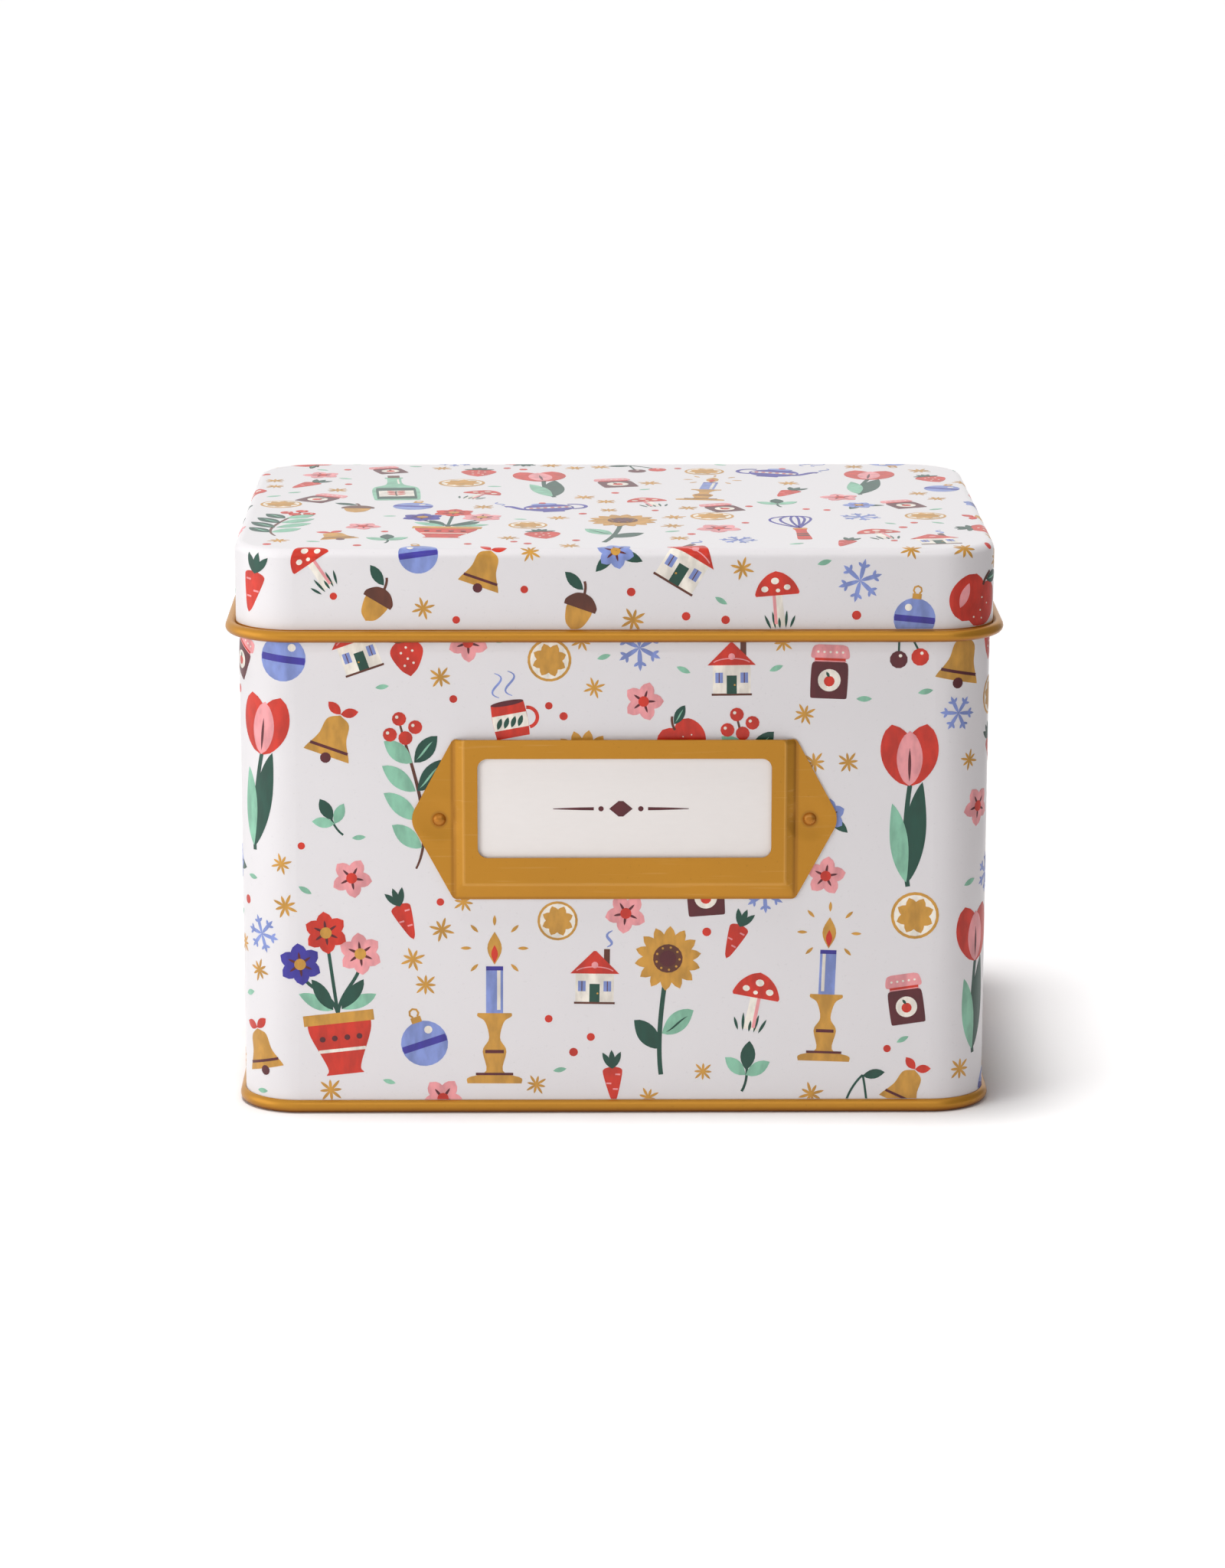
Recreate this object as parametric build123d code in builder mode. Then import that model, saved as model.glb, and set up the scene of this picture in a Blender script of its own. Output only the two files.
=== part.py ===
from build123d import *
import os
from math import acos, asin, cos, degrees, radians, sin, sqrt

# A recipe tin: a sheet-metal box with a slip-over lid hinged at the back, a label holder
# riveted to the front, and recipe cards filed between tabbed dividers inside.
# Sizes are in millimetres. +X is to the right, +Z is up and the label faces -Y. The origin is
# on the table, under the middle of the closed tin.

# Sheet metal
sheet = 0.25  # tinplate of the body, the base, the lid and the hinge straps
bend = 0.4  # middle-line radius of a plain fold
seam_play = 0.05  # between the sheets that are folded together round the base

# Lid
lid_width = 168.0  # over the skirt, left to right
lid_depth = 118.0  # over the skirt, front to back
corner_radius = 13.4  # of the skirt, seen from above
tin_height = 128.2  # table to the top of the closed lid
lid_edge_radius = 2.0  # where the top turns down into the skirt
lid_border = 4.0  # border of the top that is drawn together with the skirt
lid_rise = 19.2  # from the middle of the curl round the lid's open edge up to the top
curl_gap = 0.1  # between the curl's free end and the skirt

# Hinge
wire_radius = 1.0
wire_play = 0.05  # round the wire, in the curl and in the straps
wire_length = 136.0
strap_width = 14.0
strap_spacing = 90.0  # between the middles of the two straps
strap_leg = 9.0  # flat part that is welded to the back wall
strap_bend = 0.6
strap_corner = 2.5
strap_side_play = 0.5  # between a strap and the ends of its notch in the curl
lid_opening = 105.0  # degrees from closed to the stop
stop_slack = 4.0  # degrees left between the skirt and the straps' ends at the stop
weld_radius = 1.3
weld_depth = 0.08
weld_spacing = 7.0

# Body wall
lid_play = 0.42  # between the skirt and the wall inside it
shoulder_drop = 0.9  # from the curl's middle down to where the wall starts to step in
swing_clearance = 0.4  # between the neck and the front of the lid as it swings past
lid_rest = 0.15  # between the neck's curl and the underside of the lid
neck_curl_radius = 0.95
neck_curl_turn = 250.0  # degrees that the neck's edge is rolled inwards
seam_width = 5.0  # lap of the wall's upright seam, in the middle of the back
seam_line_width = 0.4
seam_line_depth = 0.1

# Base
foot_radius = 1.5  # of the seam that the tin stands on
foot_inset = 0.24  # from the wall's outer face in to the seam's middle
foot_flat = 0.08  # pressed off the seam's underside
flange_rise = 0.8  # table to the wall's folded edge inside the seam
floor_height = 3.0  # table to the floor of the tin
floor_border = 4.0  # border of the floor that is folded together with the seam
panel_step = 0.6  # depth of the stiffening panel pressed down into the floor
panel_inset = 14.0  # from the wall's outer face to that panel's edge
panel_slope = 2.0
panel_corner = 10.0

# Label holder
holder_sheet = 0.4
holder_offset = 2.1  # its middle, to the right of the tin's
holder_level = 67.5  # its middle, above the table
holder_height = 36.4
raised_width = 75.8  # of the raised frame, at the foot of its bevels
raised_depth = 1.5  # face of the frame, out from the wall
side_bevel = 2.3
bottom_bevel = 3.6
bevel_round = 0.2
frame_corner_radius = 1.2  # of its two lower corners
ear_length = 9.8  # beyond the raised frame, before its tip is rounded
ear_tip_radius = 5.0
ear_corner_radius = 1.5
window_width = 65.0
window_height = 22.5
window_rise = 2.7  # its middle, above the holder's
window_radius = 2.2

# Rivets
rivet_spacing = 82.0
rivet_radius = 0.9
rivet_hole_play = 0.05
rivet_head_radius = 1.5
rivet_head_height = 1.0
rivet_tail_radius = 1.4
rivet_tail_height = 0.5

# Label card
label_thickness = 0.4
label_side_play = 0.6
label_top_margin = 0.5  # below the holder's upper edge
label_corner = 0.6

# Recipe cards and dividers
card_width = 152.4
card_height = 101.6
card_thickness = 0.3
card_corner = 3.0
divider_thickness = 0.4
divider_corner = 1.5
tab_height = 9.0
tab_foot = 34.0
tab_top = 29.0
tab_columns = 4
tab_margin = 4.0  # from the outer tabs to the divider's sides
divider_count = 12
cards_per_divider = 2
paper_gap = 0.1  # between sheets that stand together
lean = 8.0  # degrees that the cards lean back
group_gap = 0.3  # between the cards that tip forward and those that stay
seat_gap = 0.3  # between a loose piece and what it stands on or leans against

# The lid's curl wraps the hinge wire, and the hinge turns about that wire.
curl_height = tin_height - lid_rise
curl_radius = wire_radius + wire_play + sheet
curl_roll = curl_radius - sheet / 2
hinge_y = lid_depth / 2 - sheet + curl_radius
hinge_z = curl_height

# The body wall stands inside the skirt. Its neck steps in as far as the lid's front needs to
# swing past it, and its upper edge is rolled inwards under the lid.
wall_inset = sheet + lid_play
wall_front = lid_depth / 2 - wall_inset
wall_middle = -sheet / 2
shoulder_height = curl_height - shoulder_drop
neck_top = tin_height - sheet - lid_rest
skirt_reach = hinge_y + lid_depth / 2 - sheet
neck_front = sqrt((skirt_reach - swing_clearance) ** 2 - (neck_top - hinge_z) ** 2) - hinge_y
neck_step = wall_front - neck_front
neck_middle = wall_middle - neck_step
neck_roll = neck_curl_radius - sheet / 2
neck_roll_height = neck_top - neck_curl_radius

# The base seam is rolled round the wall's lower edge, whose flange reaches into the roll.
foot_level = foot_radius - foot_flat
foot_roll = foot_radius - sheet / 2
foot_bore = foot_radius - sheet
foot_end = degrees(acos((foot_inset + seam_play) / foot_bore))
chuck_middle = -sheet - seam_play - sheet / 2
flange_drop = foot_level - (flange_rise - sheet / 2)
flange_tip = sqrt(foot_bore**2 - flange_drop**2) - foot_inset - seam_play

# The label card stands in the holder's pocket, halfway between the wall and the frame.
pocket_depth = raised_depth - holder_sheet
label_play = (pocket_depth - label_thickness) / 2
label_face = label_play + label_thickness
label_bottom = bottom_bevel * label_face / pocket_depth + seat_gap - holder_height / 2
label_top = holder_height / 2 - label_top_margin
label_width = raised_width - 2 * (side_bevel * label_face / pocket_depth + label_side_play)

os.makedirs("parts", exist_ok=True)


def tin_outline(inset):
    """Draws the tin's rounded rectangle, this far inside the skirt, from the middle of the front."""
    half_width = lid_width / 2 - inset
    half_depth = lid_depth / 2 - inset
    radius = corner_radius - inset
    side = half_width - radius
    end = half_depth - radius
    Line((0, -half_depth), (side, -half_depth))
    CenterArc((side, -end), radius, -90, 90)
    Line((half_width, -end), (half_width, end))
    CenterArc((side, end), radius, 0, 90)
    Line((side, half_depth), (-side, half_depth))
    CenterArc((-side, end), radius, 90, 90)
    Line((-half_width, end), (-half_width, -end))
    CenterArc((-side, -end), radius, 180, 90)
    Line((-side, -half_depth), (0, -half_depth))


def front_section(inset):
    """The plane where that outline starts: its X points out of the tin and its Y points up."""
    return Plane(origin=(0, inset - lid_depth / 2, 0), x_dir=(0, -1, 0), z_dir=(-1, 0, 0))


def strap_places():
    """The middles of the left and right hinge straps, along the back."""
    return {"left": -strap_spacing / 2, "right": strap_spacing / 2}


# The holder's plane lies on the front wall, with its X to the right and its Y up.
holder_plane = Plane(
    origin=(holder_offset, -wall_front, holder_level), x_dir=(1, 0, 0), z_dir=(0, -1, 0)
)
back_plane = Plane(origin=(0, wall_front, 0), x_dir=(-1, 0, 0), z_dir=(0, 1, 0))

# Body wall: one strip of tinplate, flanged at the foot, stepped in at the neck and rolled
# inwards along its upper edge. Its ends are lapped in an upright seam at the back.
with BuildPart() as body_wall:
    with BuildLine() as wall_path:
        tin_outline(wall_inset)
    with BuildSketch(front_section(wall_inset)):
        with BuildLine():
            FilletPolyline(
                (flange_tip, flange_rise),
                (wall_middle, flange_rise),
                (wall_middle, shoulder_height),
                (neck_middle, shoulder_height + neck_step),
                (neck_middle, neck_roll_height),
                radius=bend,
            )
            CenterArc((neck_middle - neck_roll, neck_roll_height), neck_roll, 0, neck_curl_turn)
        trace(line_width=sheet)
    sweep(path=wall_path.wire())
    seam_foot = floor_height + seat_gap
    seam_length = shoulder_height - bend - seam_foot
    with BuildSketch(back_plane.offset(-sheet)):
        with Locations((0, seam_foot + seam_length / 2)):
            Rectangle(seam_width, seam_length)
    extrude(amount=-sheet)
    with BuildSketch(back_plane):
        with Locations((seam_width / 2, seam_foot + seam_length / 2)):
            Rectangle(seam_line_width, seam_length)
    extrude(amount=-seam_line_depth, mode=Mode.SUBTRACT)
    with BuildSketch(holder_plane):
        with GridLocations(rivet_spacing, 0, 2, 1):
            Circle(rivet_radius + rivet_hole_play)
    extrude(amount=-2 * sheet, mode=Mode.SUBTRACT)
body_wall.part.label = "body_wall"
export_step(body_wall.part, "parts/body_wall.step")

# Base: a floor whose border turns down inside the wall and is rolled outwards and up round the
# wall's flange. That seam is pressed flat where the tin stands on it.
with BuildPart() as base_panel:
    with BuildLine() as foot_path:
        tin_outline(wall_inset)
    with BuildSketch(front_section(wall_inset)):
        with BuildLine():
            CenterArc((-foot_inset, foot_level), foot_roll, -90, 90 + foot_end)
            chuck_bend = -foot_inset - chuck_middle
            foot_bottom = foot_level - foot_roll
            CenterArc((-foot_inset, foot_bottom + chuck_bend), chuck_bend, -90, -90)
            floor_middle = floor_height - sheet / 2
            FilletPolyline(
                (chuck_middle, foot_bottom + chuck_bend),
                (chuck_middle, floor_middle),
                (-floor_border, floor_middle),
                radius=bend,
            )
        trace(line_width=sheet)
        with Locations((0, -foot_radius)):
            Rectangle(4 * foot_radius, 2 * foot_radius, mode=Mode.SUBTRACT)
    sweep(path=foot_path.wire())
    floor_inset = wall_inset + floor_border
    with BuildSketch(Plane.XY.offset(floor_height)):
        RectangleRounded(
            lid_width - 2 * floor_inset, lid_depth - 2 * floor_inset, corner_radius - floor_inset
        )
    extrude(amount=-sheet)
    panel_width = lid_width - 2 * (wall_inset + panel_inset)
    panel_depth = lid_depth - 2 * (wall_inset + panel_inset)
    for top, mode in ((floor_height - sheet, Mode.ADD), (floor_height, Mode.SUBTRACT)):
        with BuildSketch(Plane.XY.offset(top)):
            RectangleRounded(panel_width, panel_depth, panel_corner)
        with BuildSketch(Plane.XY.offset(top - panel_step)):
            RectangleRounded(
                panel_width - 2 * panel_slope, panel_depth - 2 * panel_slope, panel_corner - panel_slope
            )
        loft(mode=mode)
base_panel.part.label = "base_panel"
export_step(base_panel.part, "parts/base_panel.step")

# Hinge straps: welded to the back wall, each goes out under the lid's wire and up round it. At
# the stop, the lid's skirt comes down on the straps' ends.
strap_middle = wall_front + sheet / 2
strap_turn = 270 - lid_opening - degrees(acos((curl_radius - sheet) / curl_radius)) - stop_slack
strap_level = hinge_z - curl_roll
for side, place in strap_places().items():
    with BuildPart() as hinge_strap:
        with BuildSketch(Plane.YZ.offset(place - strap_width / 2)):
            with BuildLine():
                FilletPolyline(
                    (strap_middle, strap_level - strap_leg),
                    (strap_middle, strap_level),
                    (hinge_y, strap_level),
                    radius=strap_bend,
                )
                CenterArc((hinge_y, hinge_z), curl_roll, -90, strap_turn)
            trace(line_width=sheet)
        extrude(amount=strap_width)
        leg_ends = hinge_strap.edges().filter_by(Axis.Y).group_by(Axis.Z)[0]
        fillet(leg_ends, radius=strap_corner)
        with BuildSketch(back_plane.offset(sheet)):
            with Locations((-place, strap_level - strap_leg / 2)):
                with GridLocations(weld_spacing, 0, 2, 1):
                    Circle(weld_radius)
        extrude(amount=-weld_depth, mode=Mode.SUBTRACT)
    hinge_strap.part.label = f"hinge_strap_{side}"
    export_step(hinge_strap.part, f"parts/hinge_strap_{side}.step")

# Label holder: a pressed plate with two ears. Its raised frame is bevelled at both sides and at
# the foot, and open at the top, where the label card slides in.
with BuildPart() as label_holder:
    raised_half = raised_width / 2
    middle = holder_height / 2
    with BuildSketch(holder_plane) as plate:
        with BuildLine():
            Polyline(
                (-raised_half, middle),
                (raised_half, middle),
                (raised_half + ear_length, 0),
                (raised_half, -middle),
                (-raised_half, -middle),
                (-raised_half - ear_length, 0),
                close=True,
            )
        make_face()
        tips = plate.vertices().group_by(Axis.X)
        fillet(tips[0] + tips[-1], radius=ear_tip_radius)
        rows = plate.vertices().group_by(Axis.Y)
        fillet(rows[0] + rows[-1], radius=ear_corner_radius)
    extrude(amount=holder_sheet)
    face_width = raised_width - 2 * side_bevel
    for depth, reach, mode in ((holder_sheet, 0, Mode.ADD), (0, holder_height, Mode.SUBTRACT)):
        with BuildSketch(holder_plane.offset(depth)) as frame_foot:
            with Locations((0, reach / 2)):
                Rectangle(raised_width, holder_height + reach)
            fillet(frame_foot.vertices().group_by(Axis.Z)[0], radius=frame_corner_radius)
        with BuildSketch(holder_plane.offset(pocket_depth + depth)) as frame_face:
            with Locations((0, (reach + bottom_bevel) / 2)):
                Rectangle(face_width, holder_height + reach - bottom_bevel)
            fillet(frame_face.vertices().group_by(Axis.Z)[0], radius=frame_corner_radius)
        loft(mode=mode)
        if mode == Mode.ADD:
            rim = label_holder.faces().sort_by(Axis.Y)[0].edges()
            fillet(rim.sort_by(Axis.Z)[:-1], radius=bevel_round)
    with BuildSketch(holder_plane):
        with Locations((0, window_rise)):
            RectangleRounded(window_width, window_height, window_radius)
        with GridLocations(rivet_spacing, 0, 2, 1):
            Circle(rivet_radius + rivet_hole_play)
    extrude(amount=2 * raised_depth, mode=Mode.SUBTRACT)
label_holder.part.label = "label_holder"
export_step(label_holder.part, "parts/label_holder.step")

# Rivets: a domed head on the holder's ear, a shank through the ear and the wall, and a flat
# tail set inside the tin.
dome_radius = (rivet_head_radius**2 + rivet_head_height**2) / (2 * rivet_head_height)
dome_angle = degrees(asin(rivet_head_radius / dome_radius))
for side, offset in (("left", -rivet_spacing / 2), ("right", rivet_spacing / 2)):
    rivet_origin = (holder_offset + offset, -wall_front, holder_level)
    with BuildPart() as label_rivet:
        with BuildSketch(Plane(origin=rivet_origin, x_dir=(1, 0, 0), z_dir=(0, 0, 1))):
            with BuildLine():
                crown = -holder_sheet - rivet_head_height
                CenterArc((0, crown + dome_radius), dome_radius, -90, dome_angle)
                Polyline(
                    (rivet_head_radius, -holder_sheet),
                    (rivet_radius, -holder_sheet),
                    (rivet_radius, sheet),
                    (rivet_tail_radius, sheet),
                    (rivet_tail_radius, sheet + rivet_tail_height),
                    (0, sheet + rivet_tail_height),
                    (0, crown),
                )
            make_face()
        revolve(axis=Axis(rivet_origin, (0, 1, 0)))
    label_rivet.part.label = f"label_rivet_{side}"
    export_step(label_rivet.part, f"parts/label_rivet_{side}.step")

# Label card: stands in the holder's pocket, behind the window.
with BuildPart() as label_card:
    with BuildSketch(holder_plane.offset(label_play)):
        with Locations((0, (label_bottom + label_top) / 2)):
            RectangleRounded(label_width, label_top - label_bottom, label_corner)
    extrude(amount=label_thickness)
label_card.part.label = "label_card"
export_step(label_card.part, "parts/label_card.step")

# Lid: a drawn top and skirt whose open edge is curled outwards round the hinge wire. The curl is
# notched at the back for the straps, where the skirt ends level with the wire.
with BuildPart() as lid_shell:
    with BuildLine() as skirt_path:
        tin_outline(0)
    with BuildSketch(front_section(0)):
        with BuildLine():
            edge_roll = lid_edge_radius - sheet / 2
            free_end = degrees(acos((curl_gap + sheet - curl_radius) / curl_radius))
            curl_middle = curl_radius - sheet
            CenterArc((curl_middle, curl_height), curl_roll, -180, 180 + free_end)
            Line((-sheet / 2, curl_height), (-sheet / 2, tin_height - lid_edge_radius))
            CenterArc((-lid_edge_radius, tin_height - lid_edge_radius), edge_roll, 0, 90)
            top_middle = tin_height - sheet / 2
            Line((-lid_edge_radius, top_middle), (-lid_border, top_middle))
        trace(line_width=sheet)
    sweep(path=skirt_path.wire())
    with BuildSketch(Plane.XY.offset(tin_height)):
        RectangleRounded(
            lid_width - 2 * lid_border, lid_depth - 2 * lid_border, corner_radius - lid_border
        )
    extrude(amount=-sheet)
    notch_width = strap_width + 2 * strap_side_play
    notch_places = [(place, 0) for place in strap_places().values()]
    with BuildSketch(Plane.XY.offset(curl_height - 2 * curl_radius)):
        with Locations((0, hinge_y)):
            with Locations(*notch_places):
                Rectangle(notch_width, 4 * curl_radius)
    extrude(amount=2 * curl_radius, mode=Mode.SUBTRACT)
    with BuildSketch(Plane.XY.offset(curl_height)):
        with Locations((0, lid_depth / 2 + curl_radius)):
            with Locations(*notch_places):
                Rectangle(notch_width, 2 * curl_radius)
    extrude(amount=2 * curl_radius, mode=Mode.SUBTRACT)
lid_shell.part.label = "lid_shell"
export_step(lid_shell.part, "parts/lid_shell.step")

# Hinge wire: lies in the lid's curl along the back and shows in the two notches.
with BuildPart() as hinge_wire:
    with BuildSketch(Plane.YZ.offset(-wire_length / 2)):
        with Locations((hinge_y, hinge_z)):
            Circle(wire_radius)
    extrude(amount=wire_length)
hinge_wire.part.label = "hinge_wire"
export_step(hinge_wire.part, "parts/hinge_wire.step")

# Cards: the whole file leans back against the neck of the tin. Each divider stands in front of
# its own cards, and its tab rises above them.
lean_sin = sin(radians(lean))
lean_cos = cos(radians(lean))
card_step = card_thickness + paper_gap
divider_step = divider_thickness + paper_gap
back_run = cards_per_divider * card_step
neck_inside = neck_front - sheet
divider_reach = (card_height + tab_height) * lean_sin
file_back = neck_inside - seat_gap - divider_reach + back_run / lean_cos
tab_spacing = (card_width - 2 * tab_margin - tab_foot) / (tab_columns - 1)


def sheet_plane(run):
    """The back face of a sheet that stands this far in front of the file's back, square to it."""
    return Plane(
        origin=(0, file_back - run / lean_cos, floor_height + seat_gap),
        x_dir=(1, 0, 0),
        z_dir=(0, -lean_cos, lean_sin),
    )


def divider_corners(number):
    """The corners of a divider. Its tab moves along by one column from each divider to the next."""
    tab_x = ((number - 1) % tab_columns - (tab_columns - 1) / 2) * tab_spacing
    return (
        (-card_width / 2, 0),
        (card_width / 2, 0),
        (card_width / 2, card_height),
        (tab_x + tab_foot / 2, card_height),
        (tab_x + tab_top / 2, card_height + tab_height),
        (tab_x - tab_top / 2, card_height + tab_height),
        (tab_x - tab_foot / 2, card_height),
        (-card_width / 2, card_height),
    )


run = 0
for number in range(divider_count, 0, -1):
    for card_number in range(number * cards_per_divider, (number - 1) * cards_per_divider, -1):
        with BuildPart() as recipe_card:
            with BuildSketch(sheet_plane(run)):
                with Locations((0, card_height / 2)):
                    RectangleRounded(card_width, card_height, card_corner)
            extrude(amount=card_thickness)
        recipe_card.part.label = f"recipe_card_{card_number:02d}"
        export_step(recipe_card.part, f"parts/recipe_card_{card_number:02d}.step")
        run += card_step
    with BuildPart() as divider:
        with BuildSketch(sheet_plane(run)) as divider_sketch:
            with BuildLine():
                Polyline(*divider_corners(number), close=True)
            make_face()
            fillet(divider_sketch.vertices(), radius=divider_corner)
        extrude(amount=divider_thickness)
    divider.part.label = f"divider_{number:02d}"
    export_step(divider.part, f"parts/divider_{number:02d}.step")
    run += divider_step
    if number == divider_count // 2 + 1:
        run += group_gap - paper_gap

# The front half of the file tips forward about the foot of its foremost divider.
front_face = run - paper_gap
tilt_y = file_back - (front_face - divider_thickness) / lean_cos - divider_thickness * lean_cos
tilt_z = floor_height + seat_gap + divider_thickness * lean_sin
tilt_room = tilt_y + wall_front - sheet - seat_gap
tilt_range = degrees(asin(tilt_room / (card_height + tab_height))) + lean

print(f"hinge axis: y {hinge_y:.3f} z {hinge_z:.3f}, neck step {neck_step:.3f}")
print(f"tilt axis: y {tilt_y:.3f} z {tilt_z:.3f}, up to {tilt_range:.1f} degrees")
print(f"label card: {label_width:.1f} by {label_top - label_bottom:.1f}")
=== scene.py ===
# %% [markdown]
# A recipe tin, dressed for a studio photograph. The sheet metal, the hinge and the cards are
# already real solids, loaded here as a fixed frame, so this script adds what the maker adds
# last: enamel, gold lacquer, printed ink, paper and light. Everything is in metres, in the
# tin's own frame: +X to the right, +Z up, and the label looks towards -Y.

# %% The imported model
import math

import bmesh
import bpy
import numpy as np
from mathutils import Matrix, Vector


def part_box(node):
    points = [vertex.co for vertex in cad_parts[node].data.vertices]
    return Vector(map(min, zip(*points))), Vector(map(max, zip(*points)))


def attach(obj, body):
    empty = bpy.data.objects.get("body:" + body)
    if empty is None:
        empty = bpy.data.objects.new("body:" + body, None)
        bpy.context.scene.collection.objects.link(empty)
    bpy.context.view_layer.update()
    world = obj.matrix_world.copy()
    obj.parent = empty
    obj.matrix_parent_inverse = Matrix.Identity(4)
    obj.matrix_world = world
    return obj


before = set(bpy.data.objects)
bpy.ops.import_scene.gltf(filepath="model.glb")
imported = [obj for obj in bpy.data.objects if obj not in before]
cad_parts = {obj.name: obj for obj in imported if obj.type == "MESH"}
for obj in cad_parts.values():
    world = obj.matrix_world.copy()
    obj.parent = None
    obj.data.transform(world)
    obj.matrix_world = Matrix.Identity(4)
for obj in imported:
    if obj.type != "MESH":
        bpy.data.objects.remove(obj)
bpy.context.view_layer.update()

# %% [markdown]
# The print follows the tin round its corners, so the script needs the tin's outline: a
# rounded rectangle. Its sizes come from the box of the lid. The curl at the lid's edge stands
# out past the skirt, and the body wall stands a little inside the skirt. Lengths are written
# in millimetres here, because that is how a tin maker writes them, and MM turns them into
# Blender's metres at the very end.

# %% Sizes of the tin, in millimetres
MM = 0.001
lid_low, lid_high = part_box("lid_shell")
CURL_REACH = 2.35  # the curl's outermost point, out from the skirt
CURL_RADIUS = 1.3
CORNER_RADIUS = 13.4
WALL_INSET = 0.67  # the body wall's outer face, in from the skirt's
SHEET = 0.25
EDGE_RADIUS = 2.0  # where the lid's top turns down into the skirt
HALF_WIDTH = lid_high.x / MM - CURL_REACH
HALF_DEPTH = lid_high.y / MM - CURL_REACH
CORNER_X, CORNER_Y = HALF_WIDTH - CORNER_RADIUS, HALF_DEPTH - CORNER_RADIUS  # the corners' centres
LID_TOP = lid_high.z / MM
CURL_LEVEL = lid_low.z / MM + CURL_RADIUS
SHOULDER_LEVEL = CURL_LEVEL - 0.9  # the wall steps in from here up
FLOOR_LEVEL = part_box("base_panel")[1].z / MM
SEAM_TOP = 2.97  # the top of the rolled seam at the foot
LEAN = math.radians(8)  # the cards lean back by this much
print("skirt:", round(2 * HALF_WIDTH, 1), "by", round(2 * HALF_DEPTH, 1), "curl at", round(CURL_LEVEL, 1))

# %% [markdown]
# The camera comes early, so that every later step can be judged in the final picture. It
# stands about 1.1 m in front of the tin, a little above it, behind a long lens. A camera looks
# along its own -Z axis, so its three axes are worked out from a heading, a tilt and a roll and
# then put side by side into one matrix.

# %% Camera
CAMERA_PLACE = Vector((-11.79, -1117.68, 318.14)) * MM
CAMERA_HEADING = -0.0106  # radians to the left of straight ahead
CAMERA_TILT = 0.2252  # radians below the horizon
CAMERA_ROLL = -0.0011
CAMERA_LENS = 112.87  # for a sensor whose long side is 36 mm

level_right = Vector((math.cos(CAMERA_HEADING), math.sin(CAMERA_HEADING), 0))
level_ahead = Vector((-level_right.y, level_right.x, 0))
ahead = level_ahead * math.cos(CAMERA_TILT) - Vector((0, 0, 1)) * math.sin(CAMERA_TILT)
upright = Vector((0, 0, 1)) * math.cos(CAMERA_TILT) + level_ahead * math.sin(CAMERA_TILT)
right = level_right * math.cos(CAMERA_ROLL) - upright * math.sin(CAMERA_ROLL)
up = level_right * math.sin(CAMERA_ROLL) + upright * math.cos(CAMERA_ROLL)


def linked(name, data):
    """A new object with this data, linked to the scene."""
    made = bpy.data.objects.new(name, data)
    bpy.context.collection.objects.link(made)
    return made


camera = linked("camera", bpy.data.cameras.new("camera"))
camera.data.sensor_width = 36
camera.data.lens = CAMERA_LENS
camera.matrix_world = Matrix.Translation(CAMERA_PLACE) @ Matrix((right, up, -ahead)).transposed().to_4x4()
scene = bpy.context.scene
scene.camera = camera
print("camera", round(CAMERA_PLACE.length, 3), "m from the tin")

# %% [markdown]
# The surround, the floor and every finish are node trees, and most of them need the same few
# nodes. `Tree` adds a node and feeds its inputs, with plain values or the outputs of other
# nodes alike. An `Output` reckons like a number: each sign in `1 - a * b` adds one Math node,
# so that the recipes below read like the formulas they are.

# %% Helpers: node trees


class Output:
    """A node's output that reckons like a number: each sign adds one Math node."""

    def __init__(self, tree, socket):
        self.tree, self.socket = tree, socket

    def __add__(self, other):
        return reckoned("ADD", self, other)

    def __sub__(self, other):
        return reckoned("SUBTRACT", self, other)

    def __rsub__(self, other):
        return reckoned("SUBTRACT", other, self)

    def __mul__(self, other):
        return reckoned("MULTIPLY", self, other)

    def __truediv__(self, other):
        return reckoned("DIVIDE", self, other)

    def __abs__(self):
        return reckoned("ABSOLUTE", self)

    __radd__, __rmul__ = __add__, __mul__


class Tree:
    """A node tree, with one way to add a node and one to feed sockets."""

    def __init__(self, tree):
        self.nodes, self.links = tree.nodes, tree.links

    def feed(self, sockets, values):
        """Joins outputs to the sockets with these names or numbers, or writes plain values."""
        for name, value in values.items():
            if isinstance(value, Output):
                self.links.new(value.socket, sockets[name])
            else:
                sockets[name].default_value = value

    def node(self, kind, values, output=0, **settings):
        """A new node with these settings and inputs, as one of its outputs."""
        made = self.nodes.new("ShaderNode" + kind)
        for name, value in settings.items():
            setattr(made, name, value)
        self.feed(made.inputs, values)
        return Output(self, made.outputs[output])


def any_tree(values):
    """The tree that the outputs among these values belong to."""
    return next(value.tree for value in values if isinstance(value, Output))


def reckoned(operation, *values):
    """One Math node on these numbers and outputs."""
    return any_tree(values).node("Math", dict(enumerate(values)), operation=operation)


def most(first, second):
    """The larger of two values."""
    return reckoned("MAXIMUM", first, second)


def hypotenuse(across, rise):
    """The distance that two distances at right angles make."""
    return reckoned("SQRT", across * across + rise * rise)


def step(value, low, high):
    """Nought below low, one above high, and smooth between them."""
    values = {"Value": value, "From Min": low, "From Max": high}
    return value.tree.node("MapRange", values, "Result", interpolation_type="SMOOTHSTEP")


def blend(share, first, second):
    """A colour that goes from the first to the second as share goes from 0 to 1."""
    return any_tree((share, first, second)).node("Mix", {0: share, 6: first, 7: second}, 2, data_type="RGBA")


def mixed(share, first, second):
    """A number that does the same."""
    return any_tree((share, first, second)).node("Mix", {0: share, 2: first, 3: second})


print("helpers for node trees ready")

# %% Helpers: places, noise and finishes


def outputs_of(output):
    """All outputs of the same node, by name."""
    return {socket.name: Output(output.tree, socket) for socket in output.socket.node.outputs}


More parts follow.
